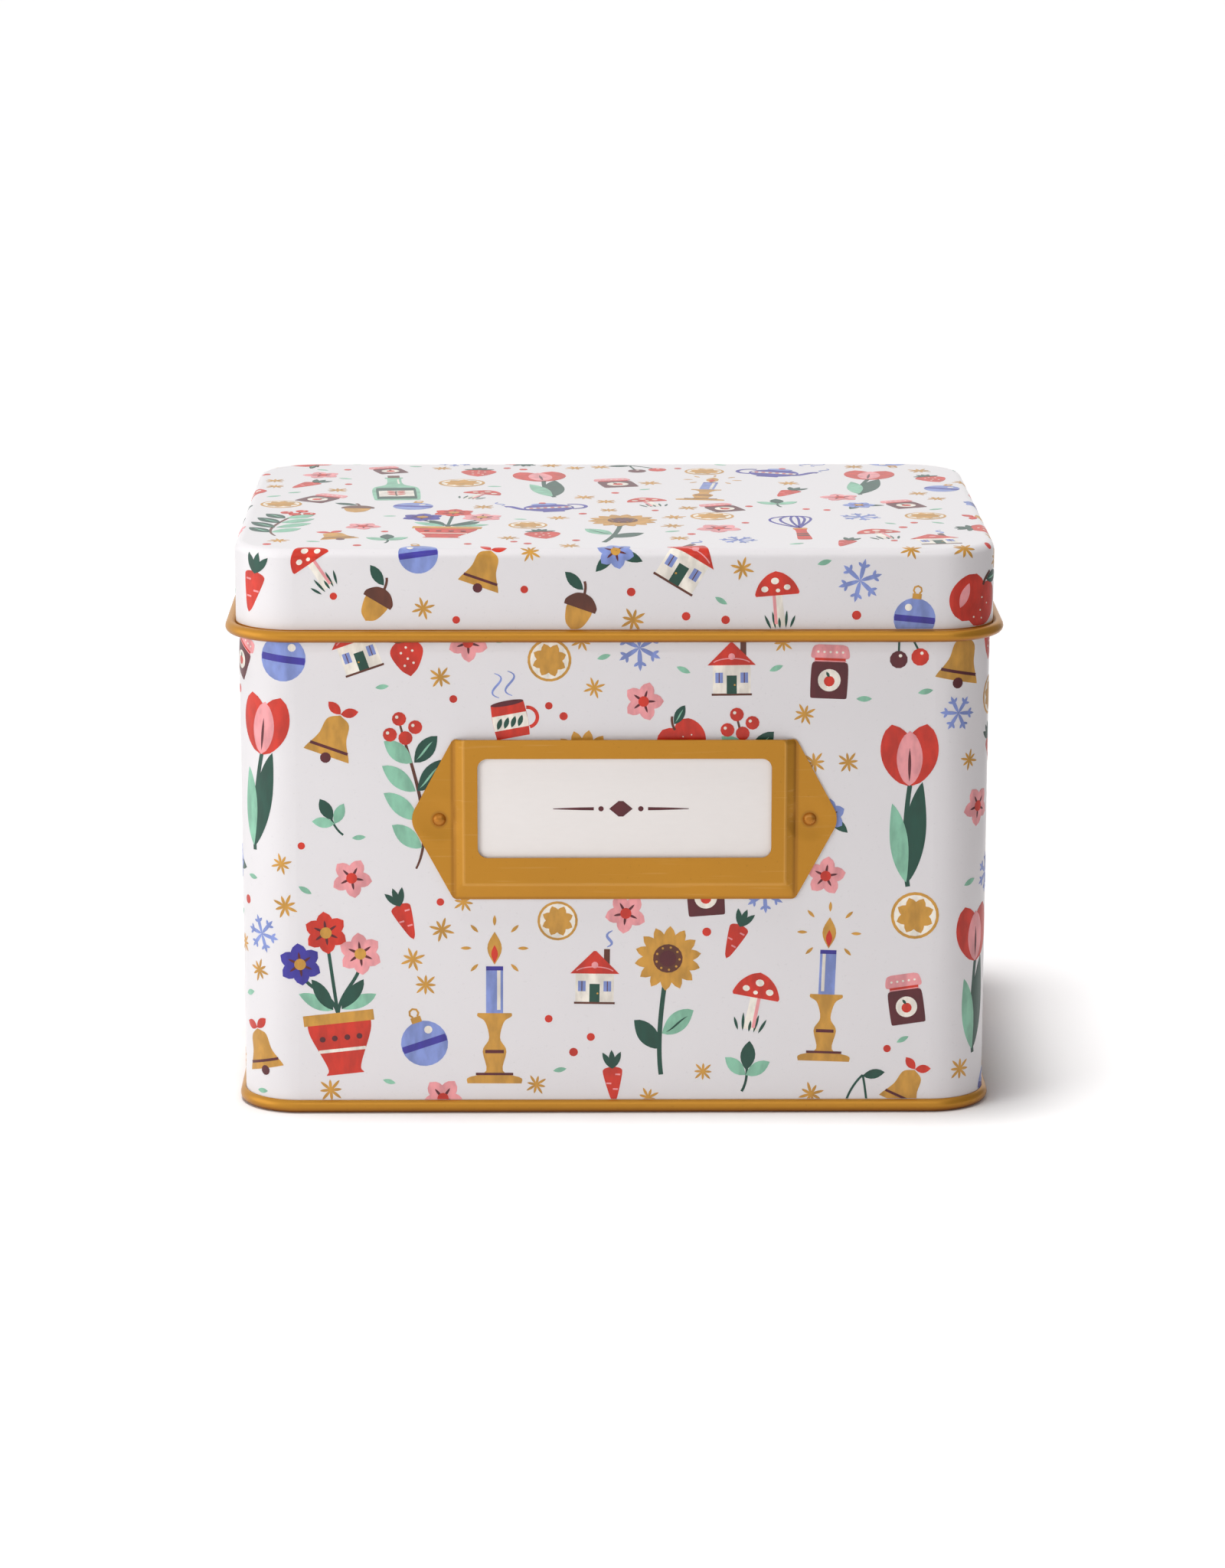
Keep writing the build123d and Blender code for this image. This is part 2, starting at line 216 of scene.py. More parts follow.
def parts(place):
    """The three coordinates of a place."""
    return outputs_of(place.tree.node("SeparateXYZ", {0: place})).values()


def noise(place, scale, detail=3.0, stretch=(1, 1, 1)):
    """Fractal noise at this place, with this many swirls to the metre."""
    mapped = place.tree.node("Mapping", {"Vector": place, "Scale": stretch})
    return place.tree.node("TexNoise", {"Vector": mapped, "Scale": scale, "Detail": detail}, "Fac")


def scaled(colour, tone):
    """A colour made lighter or darker by a factor."""
    return tone.tree.node("VectorMath", {0: colour, "Scale": tone}, operation="SCALE")


def linear(red, green, blue):
    """A screen colour, 0 to 255, as the linear colour that shaders use."""
    values = np.array([red, green, blue]) / 255
    curve = np.where(values <= 0.04045, values / 12.92, ((values + 0.055) / 1.055) ** 2.4)
    return (*curve, 1.0)


class Finish(Tree):
    """A new material as a node tree, with its Principled shader."""

    def __init__(self, name, roughness, metallic=0.0):
        self.material = bpy.data.materials.new(name)
        self.material.use_nodes = True
        super().__init__(self.material.node_tree)
        self.shade({"Roughness": roughness, "Metallic": metallic})

    def coords(self, kind="Object"):
        """The place of each point on the tin, or its Normal."""
        return self.node("TexCoord", {}, kind)

    def shade(self, values):
        """Feeds the shader's inputs."""
        self.feed(self.nodes["Principled BSDF"].inputs, values)

    def bump(self, height, distance, strength):
        """Feeds a height through a Bump node into the shader's normal."""
        values = {"Height": height, "Distance": distance, "Strength": strength}
        self.shade({"Normal": self.node("Bump", values)})


def make_group(name, inputs, outputs, recipe):
    """A node group with these inputs and their usual values. recipe turns them into the outputs."""
    group = bpy.data.node_groups.new(name, "ShaderNodeTree")
    kinds = {type(None): "Vector", tuple: "Color", float: "Float"}
    for socket, value in inputs.items():
        kind = "NodeSocket" + kinds[type(value)]
        made = group.interface.new_socket(socket, in_out="INPUT", socket_type=kind)
        if value is not None:
            made.default_value = value
    for socket in outputs:
        kind = "NodeSocketColor" if socket == "Color" else "NodeSocketFloat"
        group.interface.new_socket(socket, in_out="OUTPUT", socket_type=kind)
    tree = Tree(group)
    start = tree.nodes.new("NodeGroupInput").outputs
    end = tree.nodes.new("NodeGroupOutput").inputs
    results = recipe(*(Output(tree, start[socket]) for socket in inputs))
    tree.feed(end, dict(zip(outputs, results)))
    return group


def use_group(group, place, **values):
    """The outputs, by name, of a group at this place and with these inputs."""
    return outputs_of(place.tree.node("Group", {"Position": place, **values}, node_tree=group))


print("helpers for finishes ready")

# %% [markdown]
# One sheet of tin has two faces: enamel or lacquer outside, plain tinplate inside. Each CAD
# piece is one mesh with one material, so the material has to know which face it is on. The
# group below measures how far a point lies outside the skirt's outline. The distance to a
# rounded rectangle is the length of the part of the point that sticks out past the inner
# rectangle, plus what is left inside it, less the corner radius. The floor uses it too.

# %% Node group: distance to the tin's outline


def outline_recipe(place):
    """Distance outside the skirt's outline in metres, less than nought inside it, and height."""
    x, y, z = parts(place)
    across, along_y = abs(x) - CORNER_X * MM, abs(y) - CORNER_Y * MM
    corner = hypotenuse(most(across, 0), most(along_y, 0))
    inner = reckoned("MINIMUM", most(across, along_y), 0)
    return corner + inner - CORNER_RADIUS * MM, z


OUTLINE = make_group("tin outline", {"Position": None}, ("Outside", "Height"), outline_recipe)
print("outline group:", len(OUTLINE.nodes), "nodes")

# %% [markdown]
# The light is a small studio. The key is a sun lamp with a wide angle, nearly overhead: it
# works like a big softbox above the table that lights the whole floor alike and keeps the
# tin's shadow short. A real softbox stands near the tin on the left. Because it is near, its
# light falls off along the front, which gives the fall from pale to darker across the label
# side. Both are kept out of the reflections, as a photographer hangs lamps where the metal
# doesn't mirror them. What the gold does mirror is made for it: a long narrow strip light
# above the camera draws a thin line on each roll, a bright card on the left lights the left
# bevel, and a grey flag on the right darkens the right one. The surround gives a little warm
# light from all sides, and the camera and the reflections see it as plain white.

# %% Lamps and surround
SURROUND = 0.163  # brightness of the surround as a light
SURROUND_TINT = (1.0, 0.87, 0.86, 1)  # and its colour, a little warm
PLAIN_WHITE = (1, 1, 1, 1)
KEY_STRENGTH = 2.1
KEY_DIRECTION = Vector((-0.15, -0.03, 0.98))  # from the tin towards the lamp
KEY_SPREAD = math.radians(18)
SOFTBOX_PLACE = Vector((-0.37, -0.34, 0.19))
SOFTBOX_SIZE = 0.22
SOFTBOX_POWER = 0.79  # watts
STRIP_PLACE = Vector((0.05, -0.62, 0.72))
STRIP_SIZE = (0.9, 0.07)
STRIP_POWER = 0.7
CARD_PLACE = Vector((-0.55, -0.12, 0.15))
CARD_SIZE = 0.5
CARD_POWER = 0.9
TIN_MIDDLE = Vector((0, 0, HALF_DEPTH * MM))  # what the lamps look at

scene.view_settings.view_transform = "Standard"


def lamp(name, kind, power, place, hidden_from, **settings):
    """A lamp at this place that looks at the tin and isn't seen by these kinds of rays."""
    made = linked(name, bpy.data.lights.new(name, kind))
    made.data.energy = power
    made.location = place
    made.rotation_euler = (place - TIN_MIDDLE).to_track_quat("Z", "Y").to_euler()
    for rays in hidden_from:
        setattr(made, "visible_" + rays, False)
    for setting, value in settings.items():
        setattr(made.data, setting, value)


lamp("key_light", "SUN", KEY_STRENGTH, TIN_MIDDLE + KEY_DIRECTION, ["glossy"], angle=KEY_SPREAD)
lamp("softbox", "AREA", SOFTBOX_POWER, SOFTBOX_PLACE, ["camera", "glossy"], size=SOFTBOX_SIZE)
strip_shape = {"shape": "RECTANGLE", "size": STRIP_SIZE[0], "size_y": STRIP_SIZE[1]}
lamp("strip_light", "AREA", STRIP_POWER, STRIP_PLACE, ["camera"], **strip_shape)
lamp("bright_card", "AREA", CARD_POWER, CARD_PLACE, ["camera", "diffuse"], size=CARD_SIZE)


def seen_directly(tree):
    """One where a ray comes from the camera, a reflection or clear glass, else nought."""
    path = outputs_of(tree.node("LightPath", {}))
    return most(most(path["Is Camera Ray"], path["Is Glossy Ray"]), path["Is Transmission Ray"])


scene.world = bpy.data.worlds.new("surround")
scene.world.use_nodes = True
sky = Tree(scene.world.node_tree)
seen = seen_directly(sky)
sky_looks = {"Strength": mixed(seen, SURROUND, 1.0), "Color": blend(seen, SURROUND_TINT, PLAIN_WHITE)}
sky.feed(sky.nodes["Background"].inputs, sky_looks)
print("key light", KEY_STRENGTH, "softbox", SOFTBOX_POWER, "W")

# %% [markdown]
# The floor is white paper. It is lifted to white for the camera by a little emission, which
# would also wash out the soft dark zone in front of the tin and the thin line where it stands.
# The outline group knows how far a point of the floor is from the tin, so the lift fades out
# there: the dark zone round the tin's foot is partly the lamps' shadow and partly painted
# shadow. The flag is an upright grey sheet that only reflections see.

# %% Floor and flag
FLOOR_SIZE = 12.0  # metres
FLOOR_WHITE = (0.9, 0.9, 0.9, 1)
FLOOR_ROUGHNESS = 0.9
FLOOR_LIFT = 0.275  # what the camera sees of the floor on top of its lit colour
FADE_START, FADE_END = -0.006, 0.026  # metres out from the skirt's outline
FADE_SHIFT = Vector((-0.003, -0.004, 0))  # forwards and towards the softbox
FLAG_PLACE = 0.27  # metres to the right
FLAG_FRONT, FLAG_BACK = -0.35, 0.25  # metres along Y
FLAG_FOOT, FLAG_TOP = 0.001, 0.4
FLAG_GREY = 0.35


def sheet_of(name, corners, finish):
    """A flat four-sided sheet with this finish."""
    mesh = bpy.data.meshes.new(name)
    mesh.from_pydata(corners, [], [(0, 1, 2, 3)])
    mesh.materials.append(finish.material)
    return linked(name, mesh)


floor_finish = Finish("white paper floor", FLOOR_ROUGHNESS)
shifted = floor_finish.node("Mapping", {"Vector": floor_finish.coords(), "Location": -FADE_SHIFT})
floor_outside = use_group(OUTLINE, shifted)["Outside"]
# the lift fades near the tin: painted shadow round its foot, over the lamps' own shadow
lift = seen_directly(floor_finish) * FLOOR_LIFT * step(floor_outside, FADE_START, FADE_END)
floor_finish.shade({"Base Color": FLOOR_WHITE, "Specular IOR Level": 0.1})
floor_finish.shade({"Emission Color": PLAIN_WHITE, "Emission Strength": lift})
half = FLOOR_SIZE / 2
floor_corners = [(-half, -half, 0), (half, -half, 0), (half, half, 0), (-half, half, 0)]
floor = sheet_of("floor", floor_corners, floor_finish)

flag_finish = Finish("grey flag", 0.5)
flag_finish.shade({"Base Color": (0, 0, 0, 1), "Specular IOR Level": 0.0})
flag_finish.shade({"Emission Color": PLAIN_WHITE, "Emission Strength": FLAG_GREY})
front_edge = [(FLAG_PLACE, FLAG_FRONT, height) for height in (FLAG_FOOT, FLAG_TOP)]
back_edge = [(FLAG_PLACE, FLAG_BACK, height) for height in (FLAG_TOP, FLAG_FOOT)]
flag = sheet_of("flag", front_edge + back_edge, flag_finish)
flag.visible_camera = False
flag.visible_diffuse = False
flag.visible_shadow = False
print("floor", FLOOR_SIZE, "m square, its lift is full from", FADE_END, "m outwards")

# %% [markdown]
# Rolled tin is never perfectly even: lacquer pools a little, catches dust and is rubbed thin
# on the rims. This second group gives any coat of paint those faults at a strength of its own:
# a slow drift in tone, fine specks, and an uneven gloss. Tinplate has its own group, because
# it is rolled in one direction and spangles.

# %% Node groups: coat and tinplate
CLOUDS, GRAINS, SKIN = 22.0, 1600.0, 420.0  # swirls to the metre of a coat's drift, specks and skin
SPECK_PEAKS = (0.66, 0.74)  # the noise between these turns into specks
GLOSS_DRIFT = 0.14
ROLLING_LINES = 2200.0
ROLLED = (0.03, 1, 1)  # the lines are long along X
SPANGLES = 130.0  # crystals to the metre
SPANGLE_SHARE, LINE_SHARE, PLAIN_SHARE = 0.10, 0.12, 0.88  # of the tone
TIN_ROUGHNESS = 0.26


def coat_recipe(place, colour, drift, speck, roughness):
    """A coat of paint: its colour drifts slowly and carries specks, and its gloss is uneven."""
    cloud = noise(place, CLOUDS) - 0.5
    specks = step(noise(place, GRAINS, 2.0), *SPECK_PEAKS)
    tone = 1 + cloud * drift - specks * speck
    return scaled(colour, tone), roughness + cloud * GLOSS_DRIFT, noise(place, SKIN, 2.0)


def tinplate_recipe(place, colour):
    """Bright tin over steel: fine rolling lines along X and pale, angular spangle."""
    lines = noise(place, ROLLING_LINES, 2.0, ROLLED)
    spangle = place.tree.node("TexVoronoi", {"Vector": place, "Scale": SPANGLES}, "Distance")
    tone = spangle * SPANGLE_SHARE + lines * LINE_SHARE + PLAIN_SHARE
    return scaled(colour, tone), lines * LINE_SHARE + TIN_ROUGHNESS, lines


coat_inputs = {"Position": None, "Color": PLAIN_WHITE, "Drift": 0.1, "Speck": 0.1, "Roughness": 0.3}
surface = ("Color", "Roughness", "Height")
COAT = make_group("coat of paint", coat_inputs, surface, coat_recipe)
TINPLATE = make_group("tinplate", {"Position": None, "Color": PLAIN_WHITE}, surface, tinplate_recipe)
print("coat and tinplate groups:", len(COAT.nodes), "and", len(TINPLATE.nodes), "nodes")

# %% [markdown]
# The printed sheet is white enamel outside and bare tinplate inside. The body and the lid
# share the recipe and differ only in where the white ends: at the body's shoulder, above
# which the neck is left bare, and at the lid's curl, which is gold. Enamel is not a metal, so
# the Metallic value is driven by the same mask as the colour.

# %% Materials of the tin's sheet metal
WHITE = linear(235, 233, 235)
GOLD = linear(184, 128, 36)
TIN_COLOR = linear(178, 177, 173)
# The shaded gold is painted shade on the underside of each roll
SHADED_GOLD = linear(138, 76, 8)
SHADE_DEPTH = 1.1  # millimetres below the middle of a roll to the full depth of tone
SHADE_SHARE = 0.75
TIN_METAL, GOLD_METAL = 0.9, 0.55
GOLD_ROUGHNESS = 0.34
FACE_MARGIN = SHEET / 2 * MM  # a face belongs to the outside down to the middle of the sheet
EDGE_BLUR = 0.0001  # metres over which one coat gives way to the next
SHOULDER_BLUR = 0.3  # millimetres
PANEL_STEP = 0.75  # millimetres that the floor's rim lies below its raised middle
BASE_ROLL_DEPTH = 0.0012  # metres from the outline in to the inner side of the base seam
SKIN_DEPTH = 0.00002  # metres of unevenness in a coat


def on_face(distance, face):
    """One from the sheet's middle out to this outer face, nought on its inner face."""
    return step(distance, face - FACE_MARGIN, face - FACE_MARGIN * 0.8)


def sheet_finish(name, masks, roll=0.0):
    """Tinplate with enamel and gold over it. masks gives (enamel, gold) shares from the place.

    Below the middle of the roll the gold is painted darker: painted shade on the roll's underside.
    """
    finish = Finish(name, 0.3)
    place = finish.coords()
    outside, height = use_group(OUTLINE, place).values()
    enamel, gold = masks(finish, outside, height)
    bare = use_group(TINPLATE, place, Color=TIN_COLOR)
    white = use_group(COAT, place, Color=WHITE, Drift=0.05, Speck=0.05, Roughness=0.30)
    # painted shade: the gold turns darker below the middle of the roll
    underside_shade = step(height, roll * MM, (roll - SHADE_DEPTH) * MM)
    gold_tone = blend(underside_shade * SHADE_SHARE, GOLD, SHADED_GOLD)
    lacquer = use_group(COAT, place, Color=gold_tone, Drift=0.22, Speck=0.12, Roughness=GOLD_ROUGHNESS)
    colour = blend(enamel, bare["Color"], white["Color"])
    rough = mixed(enamel, bare["Roughness"], white["Roughness"])
    finish.shade({"Base Color": blend(gold, colour, lacquer["Color"])})
    finish.shade({"Roughness": mixed(gold, rough, lacquer["Roughness"])})
    finish.shade({"Metallic": mixed(gold, (1 - enamel) * TIN_METAL, GOLD_METAL)})
    finish.bump(white["Height"], SKIN_DEPTH, 0.35)
    return finish


def body_masks(finish, outside, height):
    """White on the outer face, up to the shoulder."""
    above = step(height, SHOULDER_LEVEL * MM, (SHOULDER_LEVEL + SHOULDER_BLUR) * MM)
    return on_face(outside, -WALL_INSET * MM) * (1 - above), 0.0


def lid_masks(finish, outside, height):
    """White on the skirt and the top, gold on the curl below them.

    On the rounded edge between skirt and top, the outer face is the one far from its own centre.
    """
    outer = on_face(outside, 0)
    past_centre = most(outside + EDGE_RADIUS * MM, 0)
    over_centre = most(height - (LID_TOP - EDGE_RADIUS) * MM, 0)
    edge = on_face(hypotenuse(past_centre, over_centre), EDGE_RADIUS * MM)
    curl_top = (CURL_LEVEL + CURL_RADIUS) * MM
    enamel = most(most(outer, on_face(height, LID_TOP * MM)), edge)
    return enamel, (1 - step(height, curl_top, curl_top + EDGE_BLUR)) * outer


def base_masks(finish, outside, height):
    """Gold everywhere but on the floor inside, which is bare tinplate."""
    rim_level = FLOOR_LEVEL - SHEET - PANEL_STEP
    floor_face = step(height, rim_level * MM, (rim_level + 0.05) * MM)
    inside = 1 - step(outside, -BASE_ROLL_DEPTH, -BASE_ROLL_DEPTH + EDGE_BLUR)
    _, _, upwards = parts(finish.coords("Normal"))
    return 0.0, 1 - floor_face * inside * step(upwards, 0.0, 0.1)


def coat_nodes(names, finish):
    """Gives these CAD nodes this one finish."""
    for name in names:
        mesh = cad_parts[name].data
        mesh.materials.clear()
        mesh.materials.append(finish.material)
    print(finish.material.name, "on", ", ".join(names[:4]), "..." if len(names) > 4 else "")


coat_nodes(["body_wall"], sheet_finish("enamelled body", body_masks))
coat_nodes(["lid_shell"], sheet_finish("enamelled lid", lid_masks, CURL_LEVEL))
coat_nodes(["base_panel"], sheet_finish("lacquered base", base_masks, SEAM_TOP / 2))

# %% [markdown]
# The label holder and its rivets are stamped from sheet that was lacquered gold first, and
# hair scratches run through the lacquer. The raised frame carries a painted highlight along
# its outline, where it bends, and painted shade at the foot of its bevels. Painted shadow
# rings each rivet, where the sheet is drawn in a little. The wire is drawn steel, with fine
# marks along its length, and the straps are plain tinplate with the brown tint that spot
# welding leaves round each weld.

# %% Materials of the fittings
HOLDER_GOLD, RIVET_GOLD = linear(182, 126, 32), linear(176, 112, 26)
# Painted highlight on the holder's raised outline and painted shade at the foot of its bevels
SCRATCH_TONE, RIDGE_HIGHLIGHT, CREASE_SHADE = linear(240, 205, 140), linear(226, 178, 104), linear(120, 68, 14)
SCRATCH_SHARE, RIDGE_HIGHLIGHT_SHARE, CREASE_SHADE_SHARE = 0.10, 0.22, 0.4
SCRATCHES, SCRATCH_STRETCH = 900.0, (0.06, 1, 1.4)  # to the metre, and longest along X
SCRATCH_PEAKS = (0.60, 0.75)  # the noise between these turns into scratches
DRAWING_MARKS, DRAWN = 900.0, (0.15, 1, 1)  # to the metre, and long along the wire
STEEL_TONES = linear(150, 149, 147), linear(205, 204, 202)
RIDGE_WIDTH, CREASE_WIDTH = 0.5, 0.9  # millimetres
RAISED_HALF = 37.9  # half the raised frame, at the foot of its bevels
SIDE_BEVEL, BOTTOM_BEVEL = 2.3, 3.6
RIVET_HEAD = 1.5  # radius
# Painted shadow round each rivet: this is its width
RIVET_SHADOW_WIDTH = 0.8  # of the dark ring round a rivet
DENT_RADIUS = 5.5  # the sheet is drawn in round each rivet
DENT_DEPTH = 0.0006  # metres
WELD_TINT = linear(140, 105, 70)
WELD_APART, WELD_UP = 3.5, 4.5  # a weld's place, from the strap's middle and up from its foot
WELD_RADIUS, WELD_REACH = 0.9, 2.3


def box_middle(name):
    """The middle of a node's box, in millimetres."""
    low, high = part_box(name)
    return (low + high) / 2 / MM


def fold_light_and_dents(place):
    """Shares of painted highlight and painted shade on the holder, and the dents round its rivets.

    The painted highlight lies on the outline of the raised face and the painted shade at the foot
    of its bevels. Either is a band round a three-sided line: the larger of the distances past its
    side and its bottom. More painted shade rings each rivet's head. A dent is deepest at the
    rivet's head and rises smoothly with the distance from it.
    """
    middle, rivet = box_middle("label_holder"), box_middle("label_rivet_right")
    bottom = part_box("label_holder")[0].z / MM
    x, _, z = parts(place)
    aside, rise = abs(x / MM - middle.x), z / MM

    def band(half, foot, width):
        """One on the three-sided line, nought a width away from it."""
        off = abs(most(aside - half, foot - rise))
        return 1 - step(off, width * 0.3, width)

    ridge_highlight = band(RAISED_HALF - SIDE_BEVEL, bottom + BOTTOM_BEVEL, RIDGE_WIDTH)
    crease_shade = band(RAISED_HALF, bottom, CREASE_WIDTH)
    reach = hypotenuse(aside - (rivet.x - middle.x), rise - rivet.z)
    # painted shadow round each rivet's head
    ring = 1 - step(reach, RIVET_HEAD, RIVET_HEAD + RIVET_SHADOW_WIDTH)
    return ridge_highlight, most(crease_shade, ring), step(reach, RIVET_HEAD, DENT_RADIUS)


def lacquered_fitting(name, colour, metal, folded=False):
    """Gold lacquer on a stamped fitting, with hair scratches, and painted highlight and shade on its folds
    where it has some.
    """
    finish = Finish(name, GOLD_ROUGHNESS, metal)
    place = finish.coords()
    coat = use_group(COAT, place, Color=colour, Drift=0.25, Speck=0.10, Roughness=0.30)
    hair = step(noise(place, SCRATCHES, 2.0, SCRATCH_STRETCH), *SCRATCH_PEAKS)
    tone = blend(hair * SCRATCH_SHARE, coat["Color"], SCRATCH_TONE)
    if folded:
        ridge_highlight, crease_shade, dent = fold_light_and_dents(place)
        # painted highlight on the raised outline, painted shade at the bevels' foot and round the rivets
        tone = blend(ridge_highlight * RIDGE_HIGHLIGHT_SHARE, tone, RIDGE_HIGHLIGHT)
        tone = blend(crease_shade * CREASE_SHADE_SHARE, tone, CREASE_SHADE)
        finish.bump(coat["Height"] * 0.04 + dent, DENT_DEPTH, 0.7)
    else:
        finish.bump(coat["Height"], SKIN_DEPTH, 0.3)
    finish.shade({"Base Color": tone, "Roughness": coat["Roughness"] + hair * 0.1})
    return finish


def drawn_wire():
    """Drawn steel: bright, with fine marks along the wire."""
    finish = Finish("drawn steel wire", 0.28, 1.0)
    marks = noise(finish.coords(), DRAWING_MARKS, 3.0, DRAWN)
    steel = blend(marks, *STEEL_TONES)
    finish.shade({"Base Color": steel, "Roughness": marks * 0.2 + 0.18})
    finish.bump(marks, SKIN_DEPTH / 2, 0.4)
    return finish


def welded_strap():
    """Bright tinplate with a straw tint round the two welds of each strap."""
    finish = Finish("welded tinplate strap", 0.3, TIN_METAL)
    place = finish.coords()
    bare = use_group(TINPLATE, place, Color=TIN_COLOR)
    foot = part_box("hinge_strap_right")[0].z
    x, _, z = parts(place)
    side = abs(abs(x) - box_middle("hinge_strap_right").x * MM)
    reach = hypotenuse(side - WELD_APART * MM, z - (foot + WELD_UP * MM))
    tint = 1 - step(reach, WELD_RADIUS * MM, WELD_REACH * MM)
    finish.shade({"Base Color": blend(tint * 0.5, bare["Color"], WELD_TINT), "Roughness": bare["Roughness"]})
    finish.bump(bare["Height"], SKIN_DEPTH / 2, 0.4)
    return finish


coat_nodes(["label_holder"], lacquered_fitting("lacquered holder", HOLDER_GOLD, GOLD_METAL, folded=True))
coat_nodes(["label_rivet_left", "label_rivet_right"], lacquered_fitting("rivet brass", RIVET_GOLD, 0.5))
coat_nodes(["hinge_wire"], drawn_wire())
coat_nodes(["hinge_strap_left", "hinge_strap_right"], welded_strap())

# %% [markdown]
# Card and paper look alike from far off and differ close by: both show short fibres, but the
# dividers are thicker, tinted board with a stronger mottle. The recipe cards carry the usual
# ruled lines on their front, a red one under the title and blue ones below it. The sheets
# lean back, so a line's height is measured along the leaning sheet.

# %% Materials of the paper
RULE_SPACING = 7.4  # millimetres between the writing lines
TITLE_RULE = 84.0  # measured along the lean, from the tin's origin
HALF_TITLE, HALF_RULE = 0.3, 0.14  # half the thickness of a line
TITLE_CLEARANCE = 1  # no blue line comes nearer to the title rule
RULE_SHARE = 0.6  # the blue ink is thin
FRONT_FACING = -0.9  # the Y of a normal on a front face is below this
TITLE_RED, RULE_BLUE = linear(200, 90, 80), linear(120, 150, 190)
FIBRES, MOTTLE = 1500.0, 90.0  # swirls to the metre
FIBRE_DEPTH = 0.00004  # metres
PAPER_ROUGHNESS, PAPER_SHINE = 0.72, 0.3


def fibre_recipe(place, colour, strength):
    """Paper: short fibres, a soft mottle and a matt, uneven surface."""
    pulp = noise(place, FIBRES, 3.0, (0.25, 1, 1)) * 0.6 + noise(place, MOTTLE) * 0.4
    return scaled(colour, (pulp - 0.5) * strength + 1), pulp


paper_inputs = {"Position": None, "Color": PLAIN_WHITE, "Strength": 0.1}
FIBRE = make_group("paper fibre", paper_inputs, ("Color", "Height"), fibre_recipe)


def paper(name, colour, strength, ruled=False):
    """A sheet of paper or board, ruled on its front if asked."""
    finish = Finish(name, PAPER_ROUGHNESS)
    place = finish.coords()
    fibre = use_group(FIBRE, place, Color=colour, Strength=strength)
    tint = ruled_tint(finish, place, fibre["Color"]) if ruled else fibre["Color"]
    finish.shade({"Base Color": tint, "Specular IOR Level": PAPER_SHINE})
    finish.bump(fibre["Height"], FIBRE_DEPTH, 0.35)
    return finish


def below(value, limit):
    """One where a value is below the limit, else nought."""
    return reckoned("LESS_THAN", value, limit)


def ruled_tint(finish, place, tint):
    """The paper's colour with a red title rule and blue writing rules printed on its front."""
    _, y, z = parts(place)
    height = z * (math.cos(LEAN) / MM) + y * (math.sin(LEAN) / MM)
    _, facing, _ = parts(finish.coords("Normal"))
    front = below(facing, FRONT_FACING)
    title = below(abs(height - TITLE_RULE), HALF_TITLE)
    beat = reckoned("PINGPONG", TITLE_RULE - height, RULE_SPACING / 2)
    writing = below(beat, HALF_RULE) * RULE_SHARE * below(height, TITLE_RULE - TITLE_CLEARANCE)
    return blend(title * front, blend(writing * front, tint, RULE_BLUE), TITLE_RED)


DIVIDER_TINTS = {
    "mint": linear(182, 214, 196),
    "rose": linear(232, 190, 184),
    "blue": linear(182, 194, 224),
    "straw": linear(232, 208, 158),
}
divider_names = sorted(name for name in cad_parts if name.startswith("divider_"))
card_names = sorted(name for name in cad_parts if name.startswith("recipe_card_"))
for column, (tint_name, tint) in enumerate(DIVIDER_TINTS.items()):
    coat_nodes(divider_names[column :: len(DIVIDER_TINTS)], paper(f"{tint_name} divider board", tint, 0.22))
coat_nodes(card_names, paper("recipe card paper", linear(244, 240, 230), 0.16, ruled=True))
coat_nodes(["label_card"], paper("label board", linear(249, 245, 242), 0.05))

# %% [markdown]
# The pattern is printed on the flat sheet before the tin is formed. It could be painted by
# a procedural texture, but crisp motifs of many shapes are easier to draw as real shapes. So
# each patch of ink here is a very thin closed skin on the metal. Every patch starts as one
# strip: a centre line with a half width along it. A disc, a leaf, a bottle and a brush stroke
# are all such strips, so one mesh routine serves them all.

# %% Drawing tools: strips
ROW_STEP = 1.1  # millimetres between the rows of a strip
DISC_STEP, ARC_STEP, BAR_STEP = 0.7, 0.9, 4.0


def strip(x, y, half_widths):
    """A strip's two edges: the centre line (x, y) moved by the half width along its normal."""
    line = np.stack([x, y], axis=1).astype(float)
    ahead = np.gradient(line, axis=0)
    ahead /= np.maximum(np.linalg.norm(ahead, axis=1, keepdims=True), 1e-9)
    normal = np.stack([-ahead[:, 1], ahead[:, 0]], axis=1)
    reach = normal * np.asarray(half_widths)[:, None]
    return np.stack([line - reach, line + reach], axis=1)


def through(values, t):
    """A smooth line through the values: each stretch is a cubic with its neighbours' slopes."""
    values = np.asarray(values, float)
    padded = np.concatenate([[2 * values[0] - values[1]], values, [2 * values[-1] - values[-2]]])
    whole = np.clip(np.floor(t).astype(int), 0, len(values) - 2)
    part = t - whole
    before, first, second, after = (padded[whole + shift] for shift in range(4))
    slope, curve = second - before, 2 * before - 5 * first + 4 * second - after
    twist = 3 * (first - second) + after - before
    return first + part * (slope + part * (curve + part * twist)) / 2


def turned(keys, x=0.0, smooth=True):
    """An upright outline like a turned vase: a smooth line through heights and half widths."""
    heights, widths = np.array(keys, float).T
    if not smooth:
        return strip(np.full(len(keys), x), heights, widths)
    rows = max(4 * len(keys), int((heights[-1] - heights[0]) / ROW_STEP) + 2)
    t = np.linspace(0, len(keys) - 1, rows)
    rise = np.sort(through(heights, t))  # the smooth line swings back a hair at a sharp key
    return strip(np.full(rows, x), rise, np.maximum(through(widths, t), 0))


